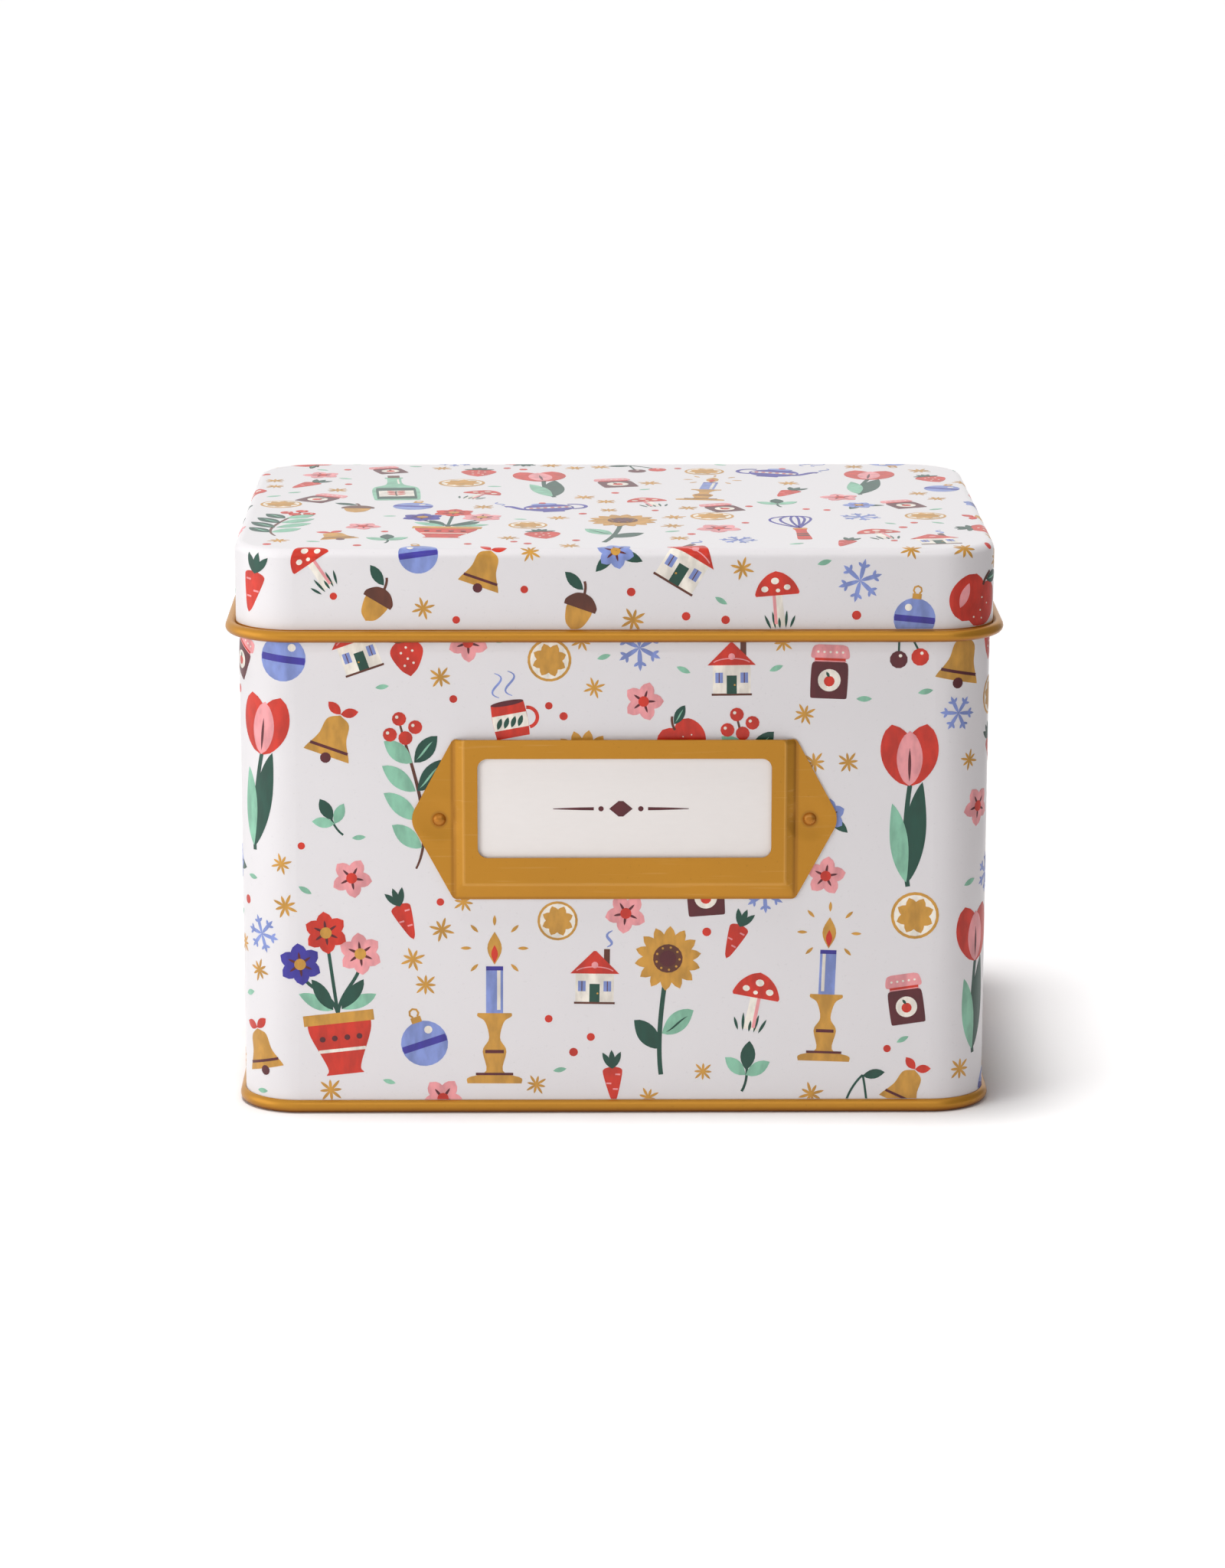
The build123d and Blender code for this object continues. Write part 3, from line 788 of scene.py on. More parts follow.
def disc(x, y, radius, squash=1.0):
    """A disc or an ellipse: the half width is the root of what the height leaves of the radius."""
    rows = max(7, int(2 * radius / DISC_STEP))
    turn = np.linspace(-math.pi / 2, math.pi / 2, rows)
    return strip(np.full(rows, x), y + radius * squash * np.sin(turn), radius * np.cos(turn))


def leaf(x, y, length, width, angle, bow=0.0, blunt=0.8):
    """A leaf or petal from its stalk: half width is a sine to a power, and the line bows aside."""
    rows = max(7, int(length / ROW_STEP) + 2)
    t = np.linspace(0, 1, rows)
    along, aside = t * length, bow * np.sin(math.pi * t / 2) ** 2 * length
    turn = math.radians(angle)
    centre_x = x + along * math.cos(turn) - aside * math.sin(turn)
    centre_y = y + along * math.sin(turn) + aside * math.cos(turn)
    return strip(centre_x, centre_y, width / 2 * np.sin(math.pi * t) ** blunt)


def stroke(points, width, taper=0.0):
    """A brush stroke through a few points, on a smooth curve, thinner at its ends by taper."""
    points = np.array(points, float)
    keys = np.arange(len(points))
    length = np.linalg.norm(np.diff(points, axis=0), axis=1).sum()
    t = np.linspace(0, len(points) - 1, max(5, int(length / ROW_STEP) + 2))
    degree = min(len(points) - 1, 3)
    x, y = (np.polyval(np.polyfit(keys, points[:, axis], degree), t) for axis in (0, 1))
    return strip(x, y, width / 2 * (1 - taper * np.abs(2 * t / t[-1] - 1) ** 2))


def arc(x, y, radius, start, end, width, squash=1.0):
    """A stroke along part of a circle or an ellipse, between two angles in degrees."""
    rows = max(6, int(abs(end - start) * radius / 57 / ARC_STEP) + 2)
    turn = np.radians(np.linspace(start, end, rows))
    return strip(x + radius * np.cos(turn), y + radius * squash * np.sin(turn), np.full(rows, width / 2))


def bar(left, right, low, high, bulge=0.0):
    """An upright four-sided patch whose sides may swell by bulge at mid height."""
    rows = max(3, int((high - low) / BAR_STEP) + 2)
    y = np.linspace(low, high, rows)
    half = (right - left) / 2 + bulge * np.sin(math.pi * ((y - low) / (high - low)))
    return strip(np.full(rows, (left + right) / 2), y, half)


def belt(half, low, high, bulge=0.0):
    """A bar across the middle."""
    return bar(-half, half, low, high, bulge)


print("a disc of 5 mm has", disc(0, 0, 5).shape[0], "rows")

# %% [markdown]
# With those few strips the motifs are quick to compose. Each one below is a list of patches:
# an ink, a layer and a strip, drawn in millimetres round its own middle. A higher layer
# prints over a lower one. The theme is a cook's kitchen and garden, in flat gouache colours.

# %% Motifs: flowers


def dots(ink, layer, radius, *places):
    """Round dots of one size."""
    return [(ink, layer, disc(x, y, radius)) for x, y in places]


def leaves(ink, layer, x, y, length, width, angles, bow=0.0, blunt=0.8):
    """Leaves or petals from one stalk, at these angles."""
    return [(ink, layer, leaf(x, y, length, width, angle, bow, blunt)) for angle in angles]


def petals(x, y, count, length, width, ink, layer):
    """A ring of petals round a centre."""
    return leaves(ink, layer, x, y, length, width, 90 + 360 / count * np.arange(count), blunt=0.6)


def blossom(x, y, size, ink, heart="ochre", count=6):
    """A flower seen from the front: petals, their veins and a round heart."""
    flower = petals(x, y, count, size, size * 0.75, ink, 1)
    flower += petals(x, y, count, size * 0.6, size * 0.12, "burgundy", 2)
    return flower + [(heart, 3, disc(x, y, size * 0.27))]


def potted_flowers():
    """A footed pot with a rim band and three blossoms over leaves."""
    marks = [("red", 0, turned([(-20, 4.5), (-18, 4), (-10, 7.2), (-6, 7.6)]))]
    marks += [("ochre", 1, belt(8.4, -7.4, -4.8)), ("cream", 1, belt(5.6, -14.4, -13.6))]
    marks += dots("burgundy", 2, 0.7, (-4.4, -11), (-1.5, -11), (1.5, -11), (4.4, -11))
    for x, y, ink in ((-7, 9, "pink"), (0.5, 15, "red"), (7.5, 8, "violet")):
        marks.append(("green", 0, stroke([(0, -5), (x * 0.35, 0), (x * 0.8, y - 5), (x, y)], 0.8)))
        marks += blossom(x, y, 5.2, ink)
    for angle, x, ink in ((155, -1, "mint"), (25, 1, "mint"), (125, -1, "green"), (55, 1, "green")):
        marks.append((ink, 0, leaf(x, -4, 9, 3.2, angle, 0.12)))
    return marks


def tulip():
    """One tulip with a long stem and two long leaves."""
    marks = [("green", 0, stroke([(0, -20), (0.8, -8), (-0.4, 6)], 1.1))]
    marks += [("green", 0, leaf(0, -19, 24, 5.0, 103, -0.10)), ("mint", 1, leaf(0.4, -19, 19, 4.2, 72, 0.13))]
    for x, angle, bow in ((-0.6, 100, 0.05), (0.4, 78, -0.05)):
        marks.append(("red", 1, leaf(x, 4, 15, 8.5, angle, bow, 0.6)))
    return marks + [("pink", 2, leaf(0, 4, 13, 6, 90, 0, 0.6)), ("burgundy", 3, leaf(0, 5, 8, 0.7, 90))]


def sunflower():
    """A sunflower: a ring of ochre petals round a seed head, on a stem with two leaves."""
    marks = [("green", 0, stroke([(0.6, -20), (-0.6, -8), (0, 8)], 1.2))]
    marks += [("green", 0, leaf(0, -13, 10, 5, 148, -0.2)), ("mint", 1, leaf(0, -9, 10, 5, 30, 0.2))]
    marks += [("green", 2, leaf(1, -8.6, 7, 0.5, 30, 0.2))] + petals(0, 11, 14, 8.6, 3.4, "ochre", 1)
    marks += dots("brown", 2, 3.8, (0, 11)) + dots("burgundy", 3, 2.2, (0, 11))
    seeds = [(3 * math.cos(turn), 11 + 3 * math.sin(turn)) for turn in np.radians(np.arange(9) * 40)]
    return marks + dots("ochre", 4, 0.3, *seeds)


def small_blossom():
    """A small pink blossom."""
    return blossom(0, 0, 4.6, "pink", "red", 5)


def blue_blossom():
    """A small blue blossom with two leaves."""
    return leaves("green", 0, 0, 0, 6.4, 2.4, (215, -35)) + blossom(0, 0, 4.2, "periwinkle")


print("flowers:", len(potted_flowers()), "patches in the flower pot")

# %% Motifs: garden and fruit


def berry_sprig():
    """A bending sprig with paired leaves and berries at its tip."""
    marks = [("brown", 0, stroke([(-2, -19), (1, -8), (0, 5), (-2, 17)], 0.8, 0.4))]
    for place, size in ((-14, 9), (-7, 10.5), (0, 10), (7, 8.5)):
        marks.append(("green", 1, leaf(0.4, place, size, 4.2, 35, 0.15)))
        marks.append(("mint", 1, leaf(0, place, size, 4.2, 145, -0.15)))
        marks.append(("mint", 2, leaf(1, place + 0.6, size * 0.7, 0.5, 36, 0.13)))
    berries = ((-2, 18), (1.6, 15.6), (-4.6, 14.4), (-1, 13.2))
    shines = [(x - 0.5, y + 0.5) for x, y in berries[:3]]
    return marks + dots("red", 2, 1.7, *berries) + dots("cream", 3, 0.4, *shines)


def apple():
    """An apple with a leaf, a paler cheek and small specks."""
    marks = []
    for x, angle, bow in ((-2.6, 94, 0.06), (2.6, 86, -0.06)):
        marks.append(("red", 0, leaf(x, -9.5, 19, 15, angle, bow, 0.5)))
    marks += [("pink", 1, leaf(-5.6, -5, 10, 3.4, 92, 0.06))]
    marks += [("brown", 2, stroke([(0, 6.4), (0.4, 9.6), (2, 12.6)], 1.1))]
    marks += [("green", 2, leaf(1, 9, 10, 4.6, 22, 0.14)), ("mint", 3, leaf(2, 9.5, 7, 0.6, 22, 0.12))]
    return marks + dots("cream", 1, 0.35, (3, -3), (5.4, 0.6), (1.6, 1.8), (5, -5.6), (1.2, -6.4))


def lemon_slice(size=7.0):
    """A slice of lemon: rind, pith and eight segments."""
    marks = [("ochre", 0, disc(0, 0, size)), ("cream", 1, disc(0, 0, size * 0.88))]
    return marks + leaves("ochre", 2, 0, 0, size * 0.8, size * 0.5, np.arange(8) * 45 + 12, 0, 0.7)


def little_lemon():
    """A small slice of lemon."""
    return lemon_slice(4.8)


def toadstool():
    """A spotted toadstool on a tuft of grass."""
    marks = [("cream", 0, turned([(-14, 3.6), (-9, 2.4), (2, 2)])), ("pink", 1, bar(-2.2, -0.8, -13, 1))]
    marks += [("red", 1, turned([(0, 9.5), (1.5, 9.8), (6, 7.6), (9.5, 3.8), (11, 0)]))]
    for x, y, radius in ((-5.4, 3.2, 1.6), (-0.6, 6.6, 1.8), (4.6, 3.4, 1.5), (0.4, 2.2, 1)):
        marks.append(("cream", 2, disc(x, y, radius, 0.85)))
    for x, height, angle in ((-4, 7, 110), (-2, 8, 96), (2.6, 8, 82), (4.6, 6, 64), (0, 5, 90)):
        marks.append(("green", 1, leaf(x, -15, height, 1.2, angle)))
    return marks


def acorn():
    """An acorn with its cap and a leaf."""
    marks = [("ochre", 0, turned([(-5.4, 0), (-4, 2), (-1, 3), (1, 3)]))]
    marks += [("brown", 1, turned([(0, 3.8), (1.4, 3.7), (3.2, 2), (3.8, 0)]))]
    marks += [("brown", 1, stroke([(0, 3), (0.3, 5), (1, 6.4)], 0.6))]
    return marks + [("green", 0, leaf(0.6, 4.4, 6, 2.6, 20, 0.1))]


def heart_leaf():
    """Three leaves on a short stem."""
    marks = [("green", 0, leaf(0, -1, 6, 3, 90)), ("mint", 1, leaf(0, -2, 5.4, 2.6, 30, 0.1))]
    marks += [("mint", 1, leaf(0, -2, 5.4, 2.6, 150, -0.1))]
    return marks + [("green", 0, stroke([(0, 0), (0.2, -3), (-0.4, -5.4)], 0.5))]


def strawberry():
    """A strawberry with its green star and seeds."""
    marks = [("red", 0, turned([(-5.4, 0), (-3.4, 2.2), (0.6, 4), (3, 2.6), (3.6, 0)]))]
    marks += leaves("green", 1, 0, 3.4, 3.4, 1.3, (10, 60, 120, 170, 90))
    return marks + dots("cream", 1, 0.3, (-1.4, 0.6), (1.4, 0.8), (0, -1), (-1, -2.6), (1.2, -2.2), (0, 1.8))


def cherries():
    """Two cherries on joined stalks with a leaf."""
    marks = [("green", 0, stroke([(x, -2), (x * 0.6, 1.6), (0.4, 4.8)], 0.5)) for x in (-2.4, 2.4)]
    marks += dots("red", 1, 2.1, (-2.4, -3.4)) + dots("burgundy", 1, 2.1, (2.6, -2.8))
    marks += [("green", 1, leaf(0.4, 4.6, 5, 2.2, 12, 0.1))]
    return marks + dots("cream", 2, 0.4, (-3, -2.6), (2, -2))


def carrot():
    """A carrot with three leaves."""
    marks = [("red", 0, turned([(-6, 0), (-4.6, 0.8), (0.6, 2.1), (2, 1.9), (2.6, 0)]))]
    for x, y in ((-1.7, 0.6), (0.4, -1.4), (-1, -2.8)):
        marks.append(("pink", 1, stroke([(x, y), (x + 1.1, y + 0.1)], 0.35)))
    return marks + leaves("green", 1, 0, 2, 4.4, 1.4, (62, 90, 118))


print("fruit:", len(lemon_slice()), "patches in a slice of lemon")

# %% Motifs: kitchen things


def teapot():
    """A round teapot with a spout, a handle, a lid and a belt of dots."""
    marks = [("violet", 0, disc(0, -3, 10.5, 0.8)), ("violet", 0, belt(4.6, -12.6, -10.4))]
    marks += [("violet", 0, stroke([(8, -6), (12, -3), (14, 2), (17, 4)], 2.6))]
    marks += [("violet", 0, arc(-10.5, -2, 5.4, 80, 285, 1.6)), ("periwinkle", 1, disc(0, 5.6, 5.4, 0.42))]
    marks += [("red", 2, disc(0, 8.4, 1.5)), ("cream", 1, belt(9.6, -4.4, -1.6))]
    marks += dots("red", 2, 0.9, *((x, -3) for x in (-7.5, -4.5, -1.5, 1.5, 4.5, 7.5)))
    return marks + [("periwinkle", 1, stroke([(17.6, 7), (16.4, 9.6), (18.6, 12), (17.4, 15)], 0.7, 0.5))]


def mug():
    """A mug with a handle, a striped belt and two curls of steam."""
    marks = [("red", 0, belt(7.5, -12, 4, 0.5)), ("red", 0, arc(7.8, -4, 4.6, -85, 85, 1.6))]
    marks += [("burgundy", 1, disc(0, 4, 7.5, 0.16)), ("cream", 1, belt(7.8, -8, -1.2, 0.15))]
    marks += [("green", 2, leaf(x, -7.4, 5.6, 2.2, 62)) for x in (-6.4, -3.2, 0, 3.2)]
    for x in (-3, 3):
        marks.append(("periwinkle", 0, stroke([(x, 7), (x - 2, 11), (x + 2, 14.5), (x, 18.5)], 1.0, 0.7)))
    return marks


def bottle():
    """A tall oil bottle with a cork, a sprig label and a pale gleam."""
    glass = [(-20, 5.2), (-19, 6), (-2, 6), (4, 2.4), (13, 1.9), (14, 2.4), (15.4, 2.4)]
    marks = [("mint", 0, turned(glass)), ("brown", 1, belt(1.6, 15, 18.5))]
    marks += [("green", 1, turned([(-18.6, 5.2), (-3, 5.2), (-1.5, 4.4)])), ("cream", 2, belt(4.6, -15, -6))]
    marks += [("green", 3, stroke([(0, -14), (0.2, -10), (0, -7)], 0.5))]
    marks += [("cream", 1, stroke([(-1.1, 5), (-1, 9), (-1, 12.4)], 0.5))]
    for place in (-12.6, -10.4, -8.2):
        marks += leaves("red", 3, 0, place, 3, 1.3, (35, 145))
    return marks


def candlestick():
    """A candle in a turned stick, with a flame and its glow."""
    stick = [(-20, 6.4), (-18.6, 6.2), (-17, 2), (-12, 2.8), (-9, 1.3), (-5, 2.2), (-3.6, 4), (-2.8, 4)]
    marks = [("ochre", 0, turned(stick)), ("burgundy", 1, belt(2.2, -12.6, -11.8))]
    marks += [("burgundy", 1, belt(4.4, -18, -17.4)), ("periwinkle", 0, belt(2, -2.8, 8.6))]
    marks += [("cream", 1, bar(-1.4, -0.6, -2, 8)), ("violet", 1, belt(2, 7.6, 8.6))]
    marks += [("ochre", 1, leaf(0, 9, 8, 3.4, 90, 0, 1.1)), ("red", 2, leaf(0, 9.4, 4.4, 1.6, 90, 0, 1.1))]
    for turn in np.radians(np.arange(8) * 45):
        x, y = 5.4 * math.cos(turn), 13 + 5.4 * math.sin(turn)
        marks.append(("ochre", 0, leaf(x, y, 2.6, 0.8, math.degrees(turn))))
    return marks


def whisk():
    """A balloon whisk: a banded handle and three wire loops."""
    marks = [("red", 0, turned([(-20, 1.2), (-18.6, 1.9), (-8, 1.4), (-4, 1.9), (-3, 1.5)]))]
    marks += [("ochre", 1, belt(1.8, -5, -3.6))]
    marks += [("green", 1, belt(1.6, -15, -14)), ("green", 1, belt(1.6, -12.4, -11.4))]
    t = np.linspace(0, math.pi, 22)
    for reach in (6.4, 3.8, 1.2):
        x = reach * np.sin(2 * t) * (0.4 + t / math.pi * 0.9)
        marks.append(("violet", 0, strip(x, 18 * np.sin(t) - 3, np.full(22, 0.35))))
    return marks


def cottage():
    """A small house with a steep roof, a door, windows and a smoking chimney."""
    marks = [("cream", 0, belt(9, -15, 0)), ("red", 1, turned([(-1, 11.5), (10, 0.6)], smooth=False))]
    marks += [("brown", 0, bar(4.2, 7, 3, 11)), ("green", 1, belt(2.4, -15, -6))]
    marks += [("ochre", 2, disc(1.4, -10.6, 0.45)), ("brown", 1, belt(9.6, -15.8, -14.8))]
    for x in (-6, 6):
        marks.append(("periwinkle", 1, bar(x - 1.8, x + 1.8, -9.6, -4.6)))
        marks.append(("brown", 2, bar(x - 0.2, x + 0.2, -9.6, -4.6)))
    marks += [("pink", 2, disc(0, 3.2, 1.6)), ("pink", 2, arc(0, -1, 9.5, 25, 155, 0.5, 0.35))]
    return marks + [("periwinkle", 0, stroke([(5.6, 12), (7.6, 14.5), (5.6, 17), (8, 20)], 1.4, 0.7))]


def jam_jar():
    """A jam jar with a cloth cover, a ribbon and a round label."""
    marks = [("burgundy", 0, turned([(-13, 6.6), (-12, 7.4), (0, 7.4), (2, 6), (3.4, 5.6)]))]
    marks += [("pink", 1, turned([(2, 6.6), (3, 6), (4, 7.8), (8, 7), (9, 5)]))]
    marks += [("red", 2, belt(6.2, 2.5, 3.5))] + dots("cream", 1, 4.6, (0, -5.6))
    marks += dots("red", 2, 2.2, (0, -6)) + [("green", 3, leaf(0, -4.4, 2.6, 1.2, 60))]
    return marks + dots("cream", 2, 0.5, *((x, 6) for x in (-5, -2.5, 0, 2.5, 5)))


def wooden_spoon():
    """A long wooden spoon tied with a red bow."""
    wood = [(-20, 0), (-19.6, 1.1), (4, 0.8), (7, 1.6), (12, 4), (17, 3.6), (19.6, 0)]
    marks = [("ochre", 0, turned(wood)), ("brown", 1, leaf(0, 8.6, 9, 4.2, 90, 0, 0.7))]
    return marks + leaves("red", 2, 0, -4, 5, 2.4, (24, 156, 242, 298), 0.1)


print("kitchen things:", len(teapot()), "patches in the teapot")

# %% Motifs: small ornaments


def bell():
    """A little bell with a bow."""
    marks = [("ochre", 0, turned([(-5, 4.8), (-4, 4.4), (-1, 2.9), (2.4, 2.3), (3.8, 0)]))]
    marks += dots("burgundy", 1, 1.1, (0, -5.4)) + leaves("red", 1, 0, 4, 3.6, 2, (28, 152))
    return marks + [("burgundy", 1, belt(4, -3.6, -3))]


def bauble():
    """A striped glass ball with a loop."""
    marks = [("periwinkle", 0, disc(0, -1, 4.6)), ("violet", 1, belt(4.4, -1.8, -0.4, 0.1))]
    marks += [("cream", 1, disc(-1.6, 1.4, 0.8)), ("ochre", 1, belt(1, 3.4, 4.6))]
    return marks + [("ochre", 0, arc(0, 5.4, 0.9, -60, 240, 0.4))]


def snow_star():
    """A six-armed star with small barbs."""
    size = 4.6
    marks = [("periwinkle", 0, leaf(0, 0, size, 0.9, 30 + 60 * arm, 0, 0.5)) for arm in range(6)]
    for turn in np.radians(30 + 60 * np.arange(6)):
        x, y = size * 0.6 * math.cos(turn), size * 0.6 * math.sin(turn)
        barbs = (math.degrees(turn) - 55, math.degrees(turn) + 55)
        marks += leaves("periwinkle", 1, x, y, size * 0.32, 0.6, barbs, 0, 0.5)
    return marks


def fleck(kind):
    """A gold star, a red berry or a green leaf to fill a gap."""
    if kind == 0:
        return dots("red", 0, 0.9, (0, 0))
    if kind == 1:
        return leaves("mint", 0, -1.6, 0, 3.2, 1.2, [0])
    return [("ochre", 0, leaf(0, 0, 2.2 + 0.5 * (ray % 2), 0.6, 45 * ray, 0, 0.6)) for ray in range(8)]


TALL_MOTIFS = [potted_flowers, tulip, berry_sprig, bottle, candlestick, whisk, wooden_spoon, sunflower]
BROAD_MOTIFS = [apple, toadstool, teapot, mug, cottage, jam_jar]
SMALL_MOTIFS = [bell, bauble, acorn, heart_leaf, snow_star, small_blossom, blue_blossom]
SMALL_MOTIFS += [strawberry, cherries, carrot, little_lemon]
print(len(TALL_MOTIFS), "tall motifs,", len(BROAD_MOTIFS), "broad and", len(SMALL_MOTIFS), "small ones")

# %% [markdown]
# A pattern maker fills the sheet by eye: the big motifs first, in loose staggered rows, then
# small ones in the gaps, then flecks. The computer does the same. It tries places at random,
# from a fixed seed so that every run prints the same tin, and keeps a place if the motif's
# circles clear all those already there.

# %% Filling a sheet with motifs
NOTHING_YET = np.zeros((0, 3))
SAME_APART = 38.0  # millimetres between two motifs of the same kind
TALL_GAP, FLECK_GAP = -1.5, 1.8  # tall motifs may nest a little
TALL_SIZES, TALL_TURNS = (0.86, 0.98), (-0.16, 0.16)  # turns are in radians
SMALL_SIZES, SMALL_TURNS = (0.9, 1.15), (-0.6, 0.6)
BROAD_SCALE = 0.5  # broad motifs are drawn large and printed small
STRAY_ASIDE, STRAY_UP = 3, 5  # millimetres off the places in a row of tall motifs
COVERED = (0.92, 0.95)  # shares of half width and half height that the circles cover
AREA_PER_TRY, AREA_PER_FLECK = 10, 22  # square millimetres
FLECK_KINDS = 5


def motif_reach(marks):
    """Half the width and half the height that a motif covers."""
    points = np.concatenate([grid.reshape(-1, 2) for _, _, grid in marks])
    return np.abs(points).max(axis=0)


def turned_about(marks, x, y, scale, turn, mirror):
    """The motif, scaled, mirrored if asked, turned and moved to its place on the sheet."""
    cosine, sine = math.cos(turn) * scale, math.sin(turn) * scale
    matrix = np.array([[cosine, sine], [-sine, cosine]])
    return [(ink, layer, (grid * (mirror, 1)) @ matrix + (x, y)) for ink, layer, grid in marks]


def circles_of(x, y, half_width, half_height):
    """Three circles, one above the other, that cover a tall motif."""
    radius = max(half_width, half_height * 0.5)
    lift = max(half_height - radius, 0)
    return np.array([(x, y + lift, radius), (x, y, radius), (x, y - lift, radius)])


def clear_of(taken, new, gap, period):
    """Whether the new circles keep this gap from the taken ones, on a sheet that joins up."""
    across = taken[:, None, 0] - new[None, :, 0]
    across -= period * np.round(across / period)
    away = np.hypot(across, taken[:, None, 1] - new[None, :, 1])
    return bool((away > taken[:, None, 2] + new[None, :, 2] + gap).all())


def filled_sheet(seed, left, right, low, high, tall_rows, period, gap, skip, taken):
    """Motifs over a sheet: rows of tall ones with jitter, then small ones and flecks in the gaps."""
    random = np.random.RandomState(seed)
    marks, order, middles = [], [], []

    def alike_near(kind, x, y):
        """Whether a motif of the same kind stands too near."""
        for other, u, v in middles:
            across = (x - u + period / 2) % period - period / 2
            if other == kind and math.hypot(across, y - v) < SAME_APART:
                return True
        return False

    def add(motif, kind, place, scale, turn, clearance):
        """Keeps the motif if its place is free."""
        nonlocal taken
        reach = motif_reach(motif) * scale
        new = circles_of(*place, *(reach * COVERED))
        refused = skip(*place, *reach) or alike_near(kind, *place)
        if refused or not clear_of(taken, new, clearance, period):
            return
        taken = np.concatenate([taken, new])
        if kind:
            middles.append((kind, *place))
        marks.extend(turned_about(motif, *place, scale, turn, random.choice((-1, 1))))

    def anywhere():
        """A place on the sheet at random."""
        return random.uniform(left, right), random.uniform(low, high)

    for row, (level, spacing) in enumerate(tall_rows):
        for x in np.arange(left + spacing * (0.3 + 0.5 * (row % 2)), right, spacing):
            order = order or list(random.permutation(len(TALL_MOTIFS)))
            choose = TALL_MOTIFS[order.pop()]
            aside, lift = random.uniform(-STRAY_ASIDE, STRAY_ASIDE), random.uniform(-STRAY_UP, STRAY_UP)
            scale, turn = random.uniform(*TALL_SIZES), random.uniform(*TALL_TURNS)
            add(choose(), choose.__name__, (x + aside, level + lift), scale, turn, TALL_GAP)
    area = (right - left) * (high - low)
    choices = [(motif, BROAD_SCALE) for motif in BROAD_MOTIFS] + [(motif, 1.0) for motif in SMALL_MOTIFS]
    for _ in range(int(area / AREA_PER_TRY)):
        choose, size = choices[random.randint(len(choices))]
        place, scale = anywhere(), size * random.uniform(*SMALL_SIZES)
        add(choose(), choose.__name__, place, scale, random.uniform(*SMALL_TURNS), gap)
    for _ in range(int(area / AREA_PER_FLECK)):
        place, kind = anywhere(), random.randint(FLECK_KINDS)
        add(fleck(kind), "", place, random.uniform(*SMALL_SIZES), random.uniform(*SMALL_TURNS), FLECK_GAP)
    print("sheet", seed, ":", len(marks), "patches of ink")
    return marks, taken


# %% [markdown]
# Now the flat print has to go round the tin. A place on the sheet has a run along the outline
# and a height. The outline is worked out once, as straight stretches and quarter circles with
# their outward normals. On the lid the same idea carries on over the rounded edge: past the
# flat top, a distance first bends round the edge and then runs down the skirt.

# %% From the flat sheet to the tin
CORNER_POINTS = 200


def outline(inset):
    """The rounded rectangle from the middle of the front, counterclockwise: run, points, normals."""
    radius = CORNER_RADIUS - inset
    centres = np.multiply([(1, -1), (1, 1), (-1, 1), (-1, -1)], (CORNER_X, CORNER_Y))
    turns = [np.linspace(start, start + 90, CORNER_POINTS) for start in (-90, 0, 90, 180)]
    angles = np.radians(np.concatenate(turns))
    normals = np.stack([np.cos(angles), np.sin(angles)], axis=1)
    points = np.repeat(centres, CORNER_POINTS, axis=0) + radius * normals
    front = np.array([(0.0, -CORNER_Y - radius)])
    points = np.concatenate([front, points, front])
    normals = np.concatenate([[(0.0, -1.0)], normals, [(0.0, -1.0)]])
    run = np.concatenate([[0], np.cumsum(np.linalg.norm(np.diff(points, axis=0), axis=1))])
    return run, points, normals


def between(place, keys, values):
    """The flat values at these places, by straight steps from key to key."""
    return np.stack([np.interp(place, keys, values[:, axis]) for axis in (0, 1)], axis=-1)


def along(line, run):
    """Points and normals of the outline at these runs."""
    lengths, points, normals = line
    run = np.mod(run, lengths[-1])
    point, normal = (between(run, lengths, values) for values in (points, normals))
    return point, normal / np.linalg.norm(normal, axis=-1, keepdims=True)


WALL_LINE = outline(WALL_INSET)
EDGE_LINE = outline(EDGE_RADIUS)  # where the lid's flat top ends
EDGE_ARC = EDGE_RADIUS * math.pi / 2
SKIRT_TOP = LID_TOP - EDGE_RADIUS + EDGE_ARC  # flat height at which the skirt's sheet meets the top


def on_wall(flat, thickness):
    """Run and height to a point on the body wall, this far out of its face."""
    point, normal = along(WALL_LINE, flat[..., 0])
    return np.concatenate([point + normal * thickness[..., None], flat[..., 1:]], axis=-1)


def over_edge(point, normal, past, thickness):
    """A point that lies past the flat top's outline by this much, bent round the edge and down."""
    bend = np.clip(past / EDGE_RADIUS, 0, math.pi / 2)
    reach = EDGE_RADIUS + thickness
    out = np.where(past > 0, reach * np.sin(bend), past)
    drop = np.maximum(past - EDGE_ARC, 0)
    height = LID_TOP - EDGE_RADIUS + reach * np.cos(bend) - drop
    return np.concatenate([point + normal * out[..., None], height[..., None]], axis=-1)


def on_skirt(flat, thickness):
    """Run and height to a point on the lid's skirt, going over the edge above it."""
    point, normal = along(EDGE_LINE, flat[..., 0])
    return over_edge(point, normal, SKIRT_TOP - flat[..., 1], thickness)


def on_top(flat, thickness):
    """A point of the flat top. Past its outline, the nearest outline point carries it over."""
    core = np.clip(flat, (-CORNER_X, -CORNER_Y), (CORNER_X, CORNER_Y))
    away = flat - core
    distance = np.linalg.norm(away, axis=-1)
    normal = away / np.maximum(distance, 1e-9)[..., None]
    radius = CORNER_RADIUS - EDGE_RADIUS
    past = distance - radius
    inner = over_edge(flat, normal * 0, np.zeros_like(past), thickness)
    outer = over_edge(core + normal * radius, normal, np.maximum(past, 0), thickness)
    return np.where((past > 0)[..., None], outer, inner)


print("round the wall:", round(WALL_LINE[0][-1], 1), "mm")

# %% [markdown]
# The inks are flat opaque colours with a gouache look: the tone drifts within a patch as if
# brushed, and the surface is a little less glossy than the enamel round it.

